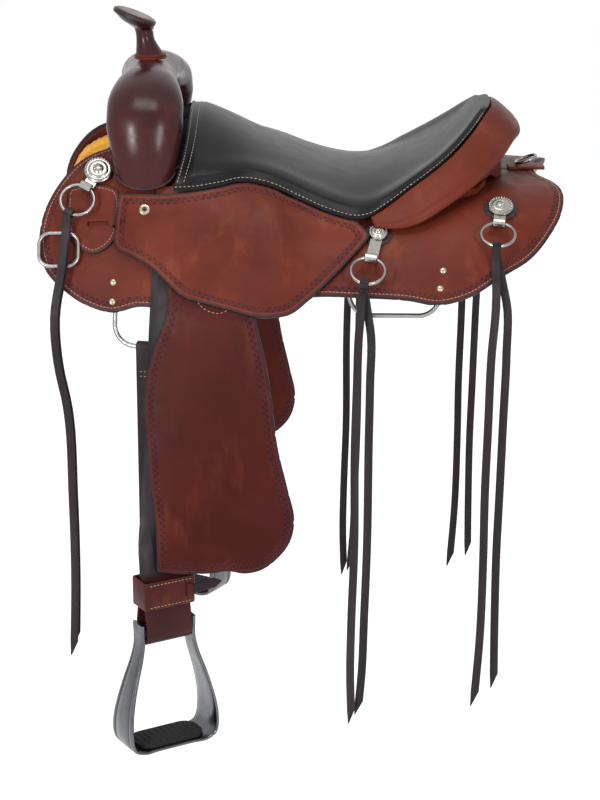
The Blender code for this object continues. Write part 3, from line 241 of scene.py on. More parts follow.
@lru_cache(maxsize=None)
def hanging_section(x):
    """Section over the skirt to its edge and then down."""
    ss, _, _, inclines = side_section(x)
    s = np.linspace(0, HANG_LENGTH, HANG_STEPS)
    surface = np.interp(s, ss, inclines)
    share = ramp(s, distance_at_height(x, HANG_FROM_Z, 0), HANG_SPREAD)
    return swept(on_saddle(x, 0, 0)[2], s, surface + (math.radians(HANG_LOW) - surface) * share)


def strap_middle_x(z):
    return PIVOT_X + (STIRRUP_X - PIVOT_X) * min(max((STRAP_TOP_Z - z) / STRAP_DROP, 0), 1)


def fender_turn(z):
    return math.radians(FENDER_TURN) * eased((FENDER_TURN_Z - z) / FENDER_TURN_DROP)


def on_hanging(x, s, lift):
    """Point of the off side's hanging sheet, which turns outwards at its front as it goes down."""
    ss, ys, zs, inclines = hanging_section(round(x, 4))
    incline = np.interp(s, ss, inclines)
    y = np.interp(s, ss, ys) + lift * math.sin(incline)
    z = np.interp(s, ss, zs) + lift * math.cos(incline)
    turn = fender_turn(z)
    if not turn:
        return np.array((x, y, z))
    middle_x = strap_middle_x(z)
    _, middle_ys, middle_zs, _ = hanging_section(round(middle_x, 4))
    middle_y = np.interp(-z, -middle_zs, middle_ys)
    dx = x - middle_x
    dy = y - middle_y
    x = middle_x + dx * math.cos(turn) + dy * math.sin(turn)
    return np.array((x, middle_y + dy * math.cos(turn) - dx * math.sin(turn), z))


def hang_distance(x, z, lift):
    ss, _, zs, inclines = hanging_section(round(x, 4))
    return float(np.interp(-z, -(zs + lift * np.cos(inclines)), ss))


def fender_lift(x, s):
    _, _, z = on_hanging(x, s, 0)
    return FENDER_LIFT + FENDER_BELLY * eased((FENDER_BELLY_Z - z) / FENDER_BELLY_DROP)


# Modelling, as by hand

RIM_ANGLE = 50
LONGEST_ROUNDING = 2.5
THONG_TIP = 0.12
MERGE = 1e-5


def pick(*objs):
    bpy.ops.object.select_all(action="DESELECT")
    for obj in objs:
        obj.select_set(True)
    bpy.context.view_layer.objects.active = objs[0]


def settle(obj):
    """Puts the object's place into its mesh."""
    pick(obj)
    bpy.ops.object.transform_apply(location=True, rotation=True, scale=True)
    return obj


def modify(obj, kind, **settings):
    """Adds a modifier and applies it."""
    pick(obj)
    change = obj.modifiers.new(kind, kind)
    for key, value in settings.items():
        setattr(change, key, value)
    bpy.ops.object.modifier_apply(modifier=change.name)
    return obj


def round_rim(obj, width):
    """Rounds the sharp edges. A point that short edges would throw far out stays at its old place."""
    before = KDTree(len(obj.data.vertices))
    for vertex in obj.data.vertices:
        before.insert(vertex.co, vertex.index)
    before.balance()
    limit = {"limit_method": "ANGLE", "angle_limit": math.radians(RIM_ANGLE)}
    modify(obj, "BEVEL", width=width, segments=2, use_clamp_overlap=False, **limit)
    for vertex in obj.data.vertices:
        place, _, away = before.find(vertex.co)
        if away > LONGEST_ROUNDING * width:
            vertex.co = place
    obj.data.update()
    return obj


def cut_away(obj, cutter):
    modify(obj, "BOOLEAN", operation="DIFFERENCE", solver="EXACT", object=cutter)
    bpy.data.objects.remove(cutter)
    return obj


def shade(obj, angle=40):
    pick(obj)
    bpy.ops.object.shade_smooth_by_angle(angle=math.radians(angle))
    return obj


def turn_outwards(obj):
    pick(obj)
    bpy.ops.object.mode_set(mode="EDIT")
    bpy.ops.mesh.select_all(action="SELECT")
    bpy.ops.mesh.remove_doubles(threshold=1e-6)
    bpy.ops.mesh.normals_make_consistent(inside=False)
    bpy.ops.object.mode_set(mode="OBJECT")
    return obj


def join(name, objs):
    pick(*objs)
    bpy.ops.object.join()
    obj = bpy.context.object
    obj.name = name
    obj.data.name = name
    return obj


def mesh_piece(name, points, faces):
    mesh = bpy.data.meshes.new(name)
    mesh.from_pydata([tuple(p) for p in points], [], faces)
    obj = bpy.data.objects.new(name, mesh)
    bpy.context.scene.collection.objects.link(obj)
    return obj


def skin(name, rings, closed=False, caps=True):
    """A quad skin through rings of points, for forms that follow a path."""
    count = len(rings[0])
    points = [p for ring in rings for p in ring]
    faces = []
    for i in range(len(rings) if closed else len(rings) - 1):
        a = i * count
        b = (i + 1) % len(rings) * count
        for j in range(count):
            k = (j + 1) % count
            faces.append((a + j, a + k, b + k, b + j))
    if caps and not closed:
        faces.append(tuple(range(count)))
        faces.append(tuple(range(len(points) - count, len(points))))
    return turn_outwards(mesh_piece(name, points, faces))


def round_turns(count):
    return [2 * math.pi * k / count for k in range(count)]


def around(origin, across, down, radius, turn):
    """The point of a circle at a turn from its top."""
    return origin + across * (radius * math.sin(turn)) - down * (radius * math.cos(turn))


def heading(points, i, closed=False):
    """The way from the point before to the point after."""
    if closed:
        return points[(i + 1) % len(points)] - points[i - 1]
    return points[min(i + 1, len(points) - 1)] - points[max(i - 1, 0)]


def tube(name, points, radius, plane=None, closed=True, sides=12):
    """A round wire along points; a flat loop is given the normal of its plane."""
    points = [Vector(p) for p in points]
    rings = []
    for i, point in enumerate(points):
        tangent = heading(points, i, closed).normalized()
        up = Vector(plane) if plane else (UP if abs(tangent.z) < 0.9 else Vector((1, 0, 0)))
        across = tangent.cross(up).normalized()
        up = across.cross(tangent).normalized()
        rings.append([
            point + up * (radius * math.cos(t)) + across * (radius * math.sin(t)) for t in round_turns(sides)
        ])
    return shade(skin(name, rings, closed), 60)


def disc(name, origin, across, down, out, profile, waves=0, wave=0.0, segments=48):
    """A turned plate: profile holds (radius, height) from its middle outwards and back under it."""
    rings = []
    for radius, height in profile:
        reach = [(radius * (1 + wave * math.cos(waves * t)), t) for t in round_turns(segments)]
        rings.append([around(origin, across, down, r, t) + out * height for r, t in reach])
    return shade(skin(name, rings), 35)


def bead_row(name, segments, ring_count, centres, axes):
    """A rounded bead at every centre in one mesh; axes holds each bead's half lengths."""
    bpy.ops.mesh.primitive_uv_sphere_add(segments=segments, ring_count=ring_count, radius=1.0)
    bead = bpy.context.object
    shape = np.array([tuple(v.co) for v in bead.data.vertices])
    faces = [tuple(p.vertices) for p in bead.data.polygons]
    bpy.data.objects.remove(bead)
    points = np.concatenate([centre + shape @ axis for centre, axis in zip(np.array(centres), axes)])
    every = [tuple(k + i * len(shape) for k in face) for i in range(len(centres)) for face in faces]
    return shade(mesh_piece(name, points, every), 80)


def rounded_loop(half_a, half_b, corner, steps=10):
    points = []
    for quarter, (sign_a, sign_b) in enumerate(((1, 1), (-1, 1), (-1, -1), (1, -1))):
        for step in range(steps + 1):
            turn = math.pi / 2 * (quarter + step / steps)
            a = sign_a * (half_a - corner) + corner * math.cos(turn)
            b = sign_b * (half_b - corner) + corner * math.sin(turn)
            if not points or math.dist(points[-1], (a, b)) > MERGE:
                points.append((a, b))
    return points


def path_length(points):
    return sum((b - a).length for a, b in zip(points, points[1:]))


def thong(name, points, across, width, thickness, point_length=0.0, slant=0.0):
    """A flat leather thong along points, its width along across, cut to a point at its end.

    slant moves the point from the middle, 0, to one edge, 1 or -1.
    """
    rings = []
    total = path_length(points)
    gone = 0.0
    for i, point in enumerate(points):
        if i:
            gone += (point - points[i - 1]).length
        tangent = heading(points, i).normalized()
        wide = (across - tangent * across.dot(tangent)).normalized()
        up = tangent.cross(wide).normalized()
        left = total - gone
        half = width / 2
        if point_length and left < point_length:
            half *= THONG_TIP + (1 - THONG_TIP) * left / point_length
        thick = thickness / 2
        soft = min(thick * 0.6, half * 0.5)
        outline = ((half, thick - soft), (half - soft, thick), (-half + soft, thick), (-half, thick - soft))
        outline += tuple((a, -b) for a, b in reversed(outline))
        moved = point + wide * (slant * (width / 2 - half))
        rings.append([moved + wide * a + up * b for a, b in outline])
    return shade(skin(name, rings), 35)


def dress(obj, body, finish, *nodes, slot=None):
    """Gives a piece its finish and body, and hides the solids that it stands for."""
    obj.data.materials.clear()
    obj.data.materials.append(finish)
    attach(obj, body)
    if nodes:
        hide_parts(*nodes)
    return obj


def curved_outline(points, step=0.006, sharp=()):
    """A closed outline through the points: smooth, but for the corners listed as sharp."""
    points = [np.array(p, float) for p in points]
    count = len(points)
    corners = sorted(sharp) or [0]
    made = []
    for i, start in enumerate(corners):
        span = (corners[(i + 1) % len(corners)] - start) % count or count
        run = [points[(start + k) % count] for k in range(span + 1)]
        made += smooth_path(run, max(2, int(path_keys(run)[-1] / step) + 1))[:-1]
    return made


# Finishes


def tint(*shown):
    """A colour as a photograph shows it, 0 to 255, made linear."""
    shares = (value / 255 for value in shown)
    return tuple(c / 12.92 if c <= 0.04045 else ((c + 0.055) / 1.055) ** 2.4 for c in shares)


def feed(tree, socket, value):
    if isinstance(value, bpy.types.NodeSocket):
        tree.links.new(value, socket)
    elif isinstance(value, tuple) and len(value) == 3 and socket.type == "RGBA":
        socket.default_value = (*value, 1.0)
    else:
        socket.default_value = value


def add_node(tree, kind, inputs=(), **settings):
    """Adds a shader node, feeds its inputs, listed in order or by name, and returns its outputs."""
    made = tree.nodes.new(f"ShaderNode{kind}")
    for key, value in settings.items():
        setattr(made, key, value)
    for key, value in inputs.items() if isinstance(inputs, dict) else enumerate(inputs):
        feed(tree, made.inputs[key], value)
    return made.outputs


class Finish:
    """A procedural material in the making, with short words for its nodes."""

    def __init__(self, name, roughness=0.5, metallic=0.0):
        self.material = bpy.data.materials.new(name)
        self.material.use_nodes = True
        self.tree = self.material.node_tree
        self.shader = self.tree.nodes["Principled BSDF"]
        self.shader.inputs["Roughness"].default_value = roughness
        self.shader.inputs["Metallic"].default_value = metallic
        self.place = add_node(self.tree, "TexCoord")["Object"]

    def calc(self, operation, *values):
        return add_node(self.tree, "Math", values, operation=operation)[0]

    def noise(self, scale, detail=3.0, rough=0.55, place=None):
        inputs = {"Vector": place or self.place, "Scale": scale, "Detail": detail, "Roughness": rough}
        return add_node(self.tree, "TexNoise", inputs)["Fac"]

    def cells(self, scale):
        return add_node(self.tree, "TexVoronoi", {"Vector": self.place, "Scale": scale})["Distance"]

    def stretched(self, scale):
        return add_node(self.tree, "Mapping", {"Vector": self.place, "Scale": (1.0, 1.0, scale)})[0]

    def fade(self, value, low, high, to_low=0.0, to_high=1.0):
        inputs = (value, low, high, to_low, to_high)
        return add_node(self.tree, "MapRange", inputs, interpolation_type="SMOOTHSTEP")[0]

    def band(self, value, middle, low, high, most=1.0):
        """A share that is full where the value is near the middle and falls off beside it."""
        return self.fade(self.calc("ABSOLUTE", self.calc("SUBTRACT", value, middle)), low, high, most, 0.0)

    def blend(self, share, a, b):
        return add_node(self.tree, "Mix", {0: share, 6: a, 7: b}, data_type="RGBA")[2]

    def attribute(self, name):
        return add_node(self.tree, "Attribute", attribute_name=name)["Fac"]

    def bump(self, height, strength, distance, onto=None):
        inputs = {"Strength": strength, "Distance": distance, "Height": height}
        if onto:
            inputs["Normal"] = onto
        return add_node(self.tree, "Bump", inputs)[0]

    def done(self, colour=None, roughness=None, normal=None, gloss=None):
        for name, value in (("Base Color", colour), ("Roughness", roughness), ("Normal", normal)):
            if value is not None:
                feed(self.tree, self.shader.inputs[name], value)
        if gloss is not None:
            self.shader.inputs["Specular IOR Level"].default_value = gloss
        return self.material


INK = tint(33, 26, 30)
WORN_INK = tint(58, 44, 50)
LANE_DYE = tint(74, 32, 42)
STAMP_PITCH = 0.0082
STAMP_HALF = 0.0017


def stamped_border(f, base, normal, edge, along, border, light):
    """Two staggered rows of round stamps in a darker lane, with a painted highlight on their lips in places.
    """
    stamps = None
    for lane, shift in ((border - STAMP_HALF, 0.0), (border + STAMP_HALF, 0.5)):
        step = f.calc("FRACT", f.calc("ADD", f.calc("DIVIDE", along, STAMP_PITCH), shift))
        u = f.calc("MULTIPLY", f.calc("SUBTRACT", step, 0.5), 2.6)
        v = f.calc("DIVIDE", f.calc("SUBTRACT", edge, lane), STAMP_HALF)
        away = f.calc("SQRT", f.calc("ADD", f.calc("MULTIPLY", u, u), f.calc("MULTIPLY", v, v)))
        stamp = f.fade(away, 0.45, 1.0, 1.0, 0.0)
        stamps = f.calc("MAXIMUM", stamps, stamp) if stamps else stamp
    highlight_patches = f.fade(f.noise(40.0, 2.0), 0.35, 0.6)
    base = f.blend(f.band(edge, border, 0.0026, 0.0046, 0.42), base, LANE_DYE)
    base = f.blend(f.calc("MULTIPLY", stamps, 0.56), base, INK)
    # Painted highlight: the stamps' lips are lightened in noisy patches, where they would catch the light.
    lip = f.calc("MULTIPLY", f.fade(stamps, 0.05, 0.4), f.fade(stamps, 0.5, 0.95, 1.0, 0.0))
    base = f.blend(f.calc("MULTIPLY", f.calc("MULTIPLY", lip, highlight_patches), 0.8), base, light)
    return base, f.bump(f.calc("MULTIPLY", stamps, -1.0), 0.9, 0.0010, normal)


def oiled_leather(name, colour, dark, light, roughness=0.42, rim=0.0, border=0.0, grain=0.12, gloss=0.14):
    """Tooled leather: cloudy dye, fine pores, and where asked an inked rim with a painted highlight along its
    crease, and a stamped border.

    rim is how far the edge ink runs in from the cut edge, and border how far in the stamps lie.
    """
    f = Finish(name, roughness)
    cloudy = f.fade(f.noise(7.0, 4.0, 0.6), 0.32, 0.68)
    streaks = f.noise(30.0, 4.0, 0.6, f.stretched(0.35))
    base = f.blend(f.fade(streaks, 0.52, 0.75, 0.0, 0.35), f.blend(cloudy, dark, colour), light)
    pores = f.cells(900.0)
    base = f.blend(f.fade(pores, 0.0, 0.35, 0.16, 0.0), base, INK)
    rough = f.fade(f.noise(60.0, 3.0), 0.3, 0.7, roughness - 0.05, roughness + 0.07)
    normal = f.bump(f.noise(140.0, 4.0), grain, 0.0006, f.bump(pores, grain, 0.0004))
    if rim:
        edge = f.attribute("edge")
        ragged = f.calc("ADD", edge, f.fade(f.noise(220.0), 0.0, 1.0, -0.0004, 0.0004))
        if border:
            base, normal = stamped_border(f, base, normal, edge, f.attribute("along"), border, light)
        # Painted highlight: a light line along the edge crease, beside the crease's real groove in the bump.
        crease_and_highlight = f.band(edge, rim + 0.0012, 0.0002, 0.0007)
        base = f.blend(f.calc("MULTIPLY", crease_and_highlight, 0.5), base, light)
        normal = f.bump(f.calc("MULTIPLY", crease_and_highlight, -1.0), 0.6, 0.0006, normal)
        base = f.blend(f.fade(ragged, rim * 0.55, rim, 1.0, 0.0), base, WORN_INK)
        base = f.blend(f.fade(ragged, 0.0002, rim * 0.45, 1.0, 0.0), base, INK)
    return f.done(base, rough, normal, gloss)


def padded_leather():
    f = Finish("black padded leather", 0.34)
    creases = f.noise(22.0, 5.0, 0.62)
    base = f.blend(f.fade(creases, 0.4, 0.72), tint(17, 17, 19), tint(27, 27, 29))
    rough = f.fade(f.noise(45.0, 4.0), 0.3, 0.7, 0.33, 0.38)
    normal = f.bump(creases, 0.04, 0.0015, f.bump(f.cells(520.0), 0.14, 0.0005))
    return f.done(base, rough, normal, 0.17)


def thong_leather(name, colour, light, roughness=0.5):
    f = Finish(name, roughness)
    fibres = f.noise(60.0, 5.0, 0.65, f.stretched(0.06))
    base = f.blend(f.fade(fibres, 0.38, 0.72), colour, light)
    base = f.blend(f.fade(f.noise(12.0, 3.0), 0.35, 0.7, 0.0, 0.5), base, INK)
    rough = f.fade(f.noise(80.0, 3.0), 0.3, 0.7, roughness - 0.06, roughness + 0.10)
    return f.done(base, rough, f.bump(fibres, 0.2, 0.0006, f.bump(f.cells(700.0), 0.22, 0.0005)), 0.20)


def looped_leather():
    """Russet strap leather, painted dark as shade along the length that hangs behind the fender, and russet
    at its lowest length round the stirrup bolt and over the tree.
    """
    f = Finish("looped strap leather", 0.44)
    height = add_node(f.tree, "SeparateXYZ", (f.place,))["Z"]
    cloudy = f.fade(f.noise(14.0, 4.0), 0.35, 0.7)
    fibres = f.noise(60.0, 5.0, 0.65, f.stretched(0.06))
    # Painted shade: near black for the length behind the fender; the strap's own colour is the russet below
    # and above it.
    dark = f.blend(f.fade(fibres, 0.38, 0.72), tint(36, 32, 35), tint(62, 54, 57))
    russet = f.blend(cloudy, tint(58, 24, 25), tint(76, 34, 33))
    base = f.blend(f.fade(height, -0.378, -0.370, 1.0, 0.0), dark, russet)
    base = f.blend(f.fade(height, 0.060, 0.070), base, f.blend(cloudy, RUSSET_DARK, RUSSET))
    normal = f.bump(f.noise(140.0, 4.0), 0.12, 0.0006, f.bump(f.cells(900.0), 0.12, 0.0004))
    return f.done(base, None, normal, 0.16)


def golden_fleece():
    f = Finish("golden fleece", 0.95)
    tufts = f.cells(150.0)
    fibres = f.noise(420.0, 4.0, 0.7)
    base = f.blend(f.fade(tufts, 0.05, 0.7), tint(255, 190, 66), tint(248, 176, 54))
    base = f.blend(f.fade(fibres, 0.45, 0.75, 0.0, 0.6), base, tint(255, 208, 104))
    f.shader.inputs["Sheen Weight"].default_value = 0.35
    return f.done(base, None, f.bump(fibres, 0.5, 0.0010, f.bump(tufts, 0.4, 0.0030)), 0.15)


def bright_metal(name, colour, roughness, marks, dull):
    f = Finish(name, roughness, 1.0)
    scuffs = f.noise(240.0, 5.0, 0.7, f.stretched(0.15))
    base = f.blend(f.fade(f.noise(55.0, 4.0, 0.6), 0.50, 0.80, 0.0, 0.45), colour, dull)
    rough = f.fade(scuffs, 0.3, 0.75, roughness - 0.04, roughness + 0.14)
    return f.done(base, rough, f.bump(scuffs, marks, 0.0004))


def grained(name, dark, light, roughness, gloss, noise, fade, bump):
    """A plain stuff whose colour and relief both follow one grain."""
    f = Finish(name, roughness)
    grain = f.noise(*noise)
    return f.done(f.blend(f.fade(grain, *fade), dark, light), None, f.bump(grain, *bump), gloss)


def plain_stuff(name, light, dark, roughness, scale, gloss=0.3):
    return grained(name, dark, light, roughness, gloss, (scale, 5.0, 0.65), (0.35, 0.7), (0.25, 0.0008))


RUSSET = tint(114, 48, 33)
RUSSET_DARK = tint(90, 36, 27)
RUSSETS = (RUSSET, RUSSET_DARK, tint(150, 76, 50))
FENDER_DYES = (tint(82, 29, 22), tint(66, 23, 18), tint(116, 54, 38))
SWELL_DYES = (tint(72, 27, 27), tint(50, 18, 19), tint(98, 44, 40))
HOBBLE_DYES = (tint(92, 38, 31), tint(70, 28, 25), tint(158, 84, 50))
STRAP_DYES = (tint(52, 40, 42), tint(38, 30, 32), tint(92, 72, 68))
BORDERED = oiled_leather("bordered russet leather", *RUSSETS, rim=0.0036, border=0.0095)
RIMMED = oiled_leather("rimmed russet leather", *RUSSETS, rim=0.0026)
PLAIN_RUSSET = oiled_leather("plain russet leather", *RUSSETS)
SWELL = oiled_leather("swell leather", *SWELL_DYES, 0.24, grain=0.04, gloss=0.24)
FENDER = oiled_leather("fender leather", *FENDER_DYES, rim=0.0030, border=0.0090, gloss=0.10)
HOBBLE = oiled_leather("plain hobble leather", *HOBBLE_DYES, 0.38)
STRAP = oiled_leather("plain strap leather", *STRAP_DYES, 0.48)
LOOPED = looped_leather()
SEAT_BLACK = padded_leather()
THONG = thong_leather("thong leather", tint(36, 30, 32), tint(60, 50, 52))
LATIGO = thong_leather("latigo leather", tint(40, 31, 33), tint(68, 56, 58))
GOLDEN = golden_fleece()
SILVER = bright_metal("silver plate", tint(164, 160, 154), 0.22, 0.10, tint(74, 70, 66))
POLISHED = bright_metal("polished steel", tint(146, 144, 142), 0.20, 0.06, tint(84, 82, 80))
NICKEL = bright_metal("satin steel wire", tint(150, 149, 147), 0.28, 0.06, tint(92, 90, 88))
ALLOY = bright_metal("satin aluminium", tint(100, 101, 104), 0.22, 0.08, tint(58, 60, 63))
BRASS = bright_metal("brass rivet", tint(170, 160, 136), 0.26, 0.06, tint(104, 98, 84))
THREAD_DYES = (tint(150, 132, 116), tint(206, 192, 172))
THREAD = grained("waxed thread", *THREAD_DYES, 0.6, None, (900.0, 2.0), (0.35, 0.7), (0.4, 0.0003))
RUBBER_DYES = (tint(24, 24, 25), tint(40, 40, 41))
RUBBER = grained("ribbed rubber", *RUBBER_DYES, 0.78, 0.3, (500.0, 3.0), (0.4, 0.7), (0.4, 0.0006))
# Dark inked leather for the welts, rosettes and the horn cap's edge; the same dark finish is also painted
# shade in the stirrup's grooves and the screw slots.
INKED_AND_SHADE = plain_stuff("inked leather and painted shade", tint(52, 40, 44), tint(30, 24, 28), 0.5, 120.0, 0.35)
RAWHIDE = plain_stuff("rawhide", tint(206, 186, 150), tint(170, 146, 108), 0.6, 30.0)
FOAM = plain_stuff("seat foam", tint(214, 208, 192), tint(190, 184, 168), 0.9, 400.0, 0.1)

# Leather panels and stitching

PANEL_CELL = 0.0046
PANEL_RIM = 0.0009
STITCH_SINK = 0.2
STITCH_REACH = 0.3
SEAM = (0.0052, 0.0038, 0.0010)
FINE_SEAM = (0.0048, 0.0034, 0.0010)


def cells_between(low, high, cell, marks):
    """Cut lines at every whole cell, except next to a mark, and at the marks."""
    values = np.arange(math.ceil(low / cell) * cell, high, cell)
    return marks + [value for value in values if all(abs(value - mark) > cell * 0.5 for mark in marks)]


def divide_panel(obj, outline, cell, slot, facing):
    """Cuts the panel's one face into cells, takes out its slot and turns it to its outer side."""
    pick(obj)
    bpy.ops.object.mode_set(mode="EDIT")
    for axis in (0, 1):
        marks = list(slot[axis * 2 : axis * 2 + 2]) if slot else []
        for value in cells_between(outline[:, axis].min(), outline[:, axis].max(), cell, marks):
            bpy.ops.mesh.select_all(action="SELECT")
            place = (0, value, 0) if axis else (value, 0, 0)
            bpy.ops.mesh.bisect(plane_co=place, plane_no=(1 - axis, axis, 0), threshold=MERGE)
    if slot:
        bm = bmesh.from_edit_mesh(obj.data)
        bpy.ops.mesh.select_all(action="DESELECT")
        for face in bm.faces:
            x, s, _ = face.calc_center_median()
            face.select_set(slot[0] < x < slot[1] and slot[2] < s < slot[3])
        bmesh.update_edit_mesh(obj.data)
        bpy.ops.mesh.delete(type="FACE")
    bpy.ops.mesh.select_all(action="SELECT")
    bpy.ops.mesh.remove_doubles(threshold=cell * 0.24)
    bpy.ops.mesh.dissolve_degenerate(threshold=MERGE)
    bpy.ops.mesh.normals_make_consistent(inside=False)
    bm = bmesh.from_edit_mesh(obj.data)
    bm.faces.ensure_lookup_table()
    if (bm.faces[0].normal.z < 0) == facing:
        bpy.ops.mesh.flip_normals()
    bpy.ops.object.mode_set(mode="OBJECT")


def mark_edge(obj, flat, outline):
    """Stores each point's distance from the cut, edge, and its place along it, along."""
    spans = np.roll(outline, -1, axis=0) - outline
    lengths = np.linalg.norm(spans, axis=1)
    edge = np.full(len(flat), np.inf)
    along = np.zeros(len(flat))
    for corner, span, length, gone in zip(outline, spans, lengths, running(lengths)):
        share = np.clip((flat - corner) @ span / max(length**2, 1e-12), 0, 1)
        away = np.linalg.norm(flat - corner - share[:, None] * span, axis=1)
        nearer = away < edge
        edge[nearer] = away[nearer]
        along[nearer] = gone + share[nearer] * length
    for key, values in (("edge", edge), ("along", along)):
        obj.data.attributes.new(key, "FLOAT", "POINT").data.foreach_set("value", values.astype(np.float32))


def cut_panel(name, side, outline, drape, thickness, cell=PANEL_CELL, rim=PANEL_RIM, slot=None):
    """A panel cut flat to its outline, divided into cells, laid over its form and given its thickness."""
    outline = np.array(outline, float)
    bpy.ops.mesh.primitive_circle_add(vertices=len(outline), radius=0.1, fill_type="NGON")
    obj = bpy.context.object
    obj.name = name
    for vertex, (x, s) in zip(obj.data.vertices, outline):
        vertex.co = (x, s, 0)
    divide_panel(obj, outline, cell, slot, side == OFF)
    flat = np.array([(v.co.x, v.co.y) for v in obj.data.vertices])
    mark_edge(obj, flat, outline)
    for vertex, (x, s) in zip(obj.data.vertices, flat):
        vertex.co = drape(x, s) * (1, side, 1)
    obj.data.update()
    modify(obj, "SOLIDIFY", thickness=thickness)
    return shade(round_rim(obj, rim))


def inset_line(outline, distance):
    """The outline moved in by a distance, without the stretches that fold over in its corners."""
    outline = np.array(outline, float)
    after = np.roll(outline, -1, axis=0)
    tangent = unit(after - np.roll(outline, 1, axis=0))
    turn = np.sum(outline[:, 0] * after[:, 1] - after[:, 0] * outline[:, 1])
    inward = np.stack([-tangent[:, 1], tangent[:, 0]], axis=1) * (1 if turn > 0 else -1)
    moved = outline + inward * distance
    away = np.linalg.norm(moved[:, None] - outline[None], axis=2).min(axis=1)
    return [tuple(p) for p, d in zip(moved, away) if d > distance * 0.93]


def one_run(points):
    """The points of a loop that has a gap, from one side of the gap to the other."""
    split = max(range(1, len(points)), key=lambda i: math.dist(points[i], points[i - 1]))
    return points[split:] + points[:split]


def stitch_row(name, points, normals, pitch=SEAM[0], length=SEAM[1], width=SEAM[2]):
    """Thread stitches along a line on a surface, each a small rounded bead lying half in the leather."""
    points = np.array(points, float)
    keys = path_keys(points)
    count = max(2, int(keys[-1] / pitch))
    at = (np.arange(count) + 0.5) / count * keys[-1]
    reach = pitch * STITCH_REACH
    along = unit(interp_point(at + reach, keys, points) - interp_point(at - reach, keys, points))
    up = interp_point(at, keys, np.array(normals, float))
    up = unit(up - along * np.sum(up * along, axis=1)[:, None])
    centres = interp_point(at, keys, points) + up * (width * STITCH_SINK)
    axes = np.stack([np.cross(up, along) * width / 2, up * width / 2, along * length / 2], axis=1)
    return bead_row(name, 6, 5, centres, axes)


def sewn_line(name, side, flat_points, drape, body, seam=SEAM):
    """Stitches along a line of flat points on a draped panel."""
    points = []
    normals = []
    for x, s in flat_points:
        here = drape(x, s)
        points.append(here * (1, side, 1))
        normals.append(unit(np.cross(drape(x + 0.001, s) - here, drape(x, s + 0.001) - here)) * (1, side, 1))
    return dress(stitch_row(name, points, normals, *seam), body, THREAD)


SKIRT_EDGE = (
    (-0.240, 0.126), (-0.268, 0.116), (-0.296, 0.090), (-0.314, 0.058), (-0.320, 0.024),
    (-0.311, -0.010), (-0.291, -0.030), (-0.262, -0.048), (-0.230, -0.055), (-0.196, -0.046),
    (-0.160, -0.048), (-0.110, -0.050), (-0.060, -0.044), (-0.010, -0.032), (0.030, -0.028),
    (0.080, -0.029), (0.130, -0.031), (0.165, -0.036), (0.205, -0.028), (0.245, -0.008), (0.280, 0.008),
    (0.306, 0.031), (0.322, 0.052),
)
SKIRT_REAR = ((0.327, 0.105), (0.318, 0.075), (0.303, 0.040), (0.300, 0.0012))
SKIRT_TOP = ((0.150, 0.0012), (0.120, 0.050), (0.0, 0.052), (-0.120, 0.052), (-0.215, 0.060))
FLEECE_EDGE = (
    (-0.246, 0.110), (-0.290, 0.084), (-0.308, 0.052), (-0.312, 0.024), (-0.300, -0.006),
    (-0.272, -0.028), (-0.244, -0.036), (-0.238, -0.012), (-0.170, -0.004), (-0.104, -0.012),
    (-0.098, -0.036), (-0.050, -0.036), (0.020, -0.018), (0.044, -0.018), (0.052, 0.010),
    (0.115, 0.016), (0.178, 0.010), (0.186, -0.020), (0.240, 0.000), (0.278, 0.018), (0.304, 0.040),
)
FLEECE_REAR = ((0.318, 0.100), (0.308, 0.070), (0.294, 0.036))
FLEECE_TOP = ((0.160, 0.034), (0.0, 0.046), (-0.120, 0.048), (-0.220, 0.058))
JOCKEY_EDGE = (
    (-0.226, 0.050), (-0.225, 0.020), (-0.204, 0.013), (-0.182, 0.003), (-0.162, -0.013),
    (-0.142, -0.028), (-0.112, -0.036), (-0.080, -0.043), (-0.045, -0.049), (-0.014, -0.046),
    (0.012, -0.030), (0.040, -0.006), (0.066, 0.018), (0.086, 0.036),
)
# Seat rows as (x, z) of the middle, then (x, z) or (x, y, z) of the edge
SEAT_SIDE_ROWS = (
    ((-0.139, 0.164), (-0.154, 0.090)), ((-0.119, 0.158), (-0.130, 0.091)),
    ((-0.090, 0.145), (-0.100, 0.095)), ((-0.055, 0.126), (-0.070, 0.099)),
    ((-0.021, 0.110), (-0.036, 0.093)), ((0.017, 0.095), (0.000, 0.078)),
    ((0.050, 0.087), (0.035, 0.065)), ((0.080, 0.085), (0.068, 0.058)),
)
SEAT_RIM_ROWS = (
    ((0.100, 0.087), (0.086, 0.180, 0.060)), ((0.122, 0.093), (0.106, 0.169, 0.070)),
    ((0.150, 0.103), (0.134, 0.157, 0.089)), ((0.177, 0.118), (0.162, 0.143, 0.107)),
    ((0.201, 0.136), (0.190, 0.122, 0.127)), ((0.221, 0.154), (0.214, 0.093, 0.148)),
    ((0.2415, 0.1735), (0.234, 0.052, 0.167)),
)
FORK_FOOT_S = 0.145
FORK_FOOT_HALF = 0.028
FORK_CLEAR_S = FORK_FOOT_S + FORK_FOOT_HALF + 0.0008
SKIRT_SEAM = (0.0046, 0.0034, 0.0009)
SKIRT_SEAM_IN = 0.0052
FLEECE_CELL = 0.008
FLEECE_RIM = 0.0035
FLEECE_OUTLINE_STEP = 0.008
PILE_SCALE = 0.006
PILE_HEIGHT = 0.0026
PILE_MIDDLE = 0.75
FLEECE_LIFT = -SKIRT_THICK - FLEECE_GAP


def skirt_face(x, s):
    return on_saddle(x, s, 0)


def jockey_face(x, s):
    return on_saddle(x, s, room_under_jockey(x, s) + JOCKEY_THICK)


def fleece_face(x, s):
    return on_saddle(x, s, FLEECE_LIFT)


def fender_face(x, s):
    return on_hanging(x, s, fender_lift(x, s) + FENDER_THICK)


def keeper_face(x, s):
    return on_saddle(x, s, KEEPER_GAP + COVER_THICK)


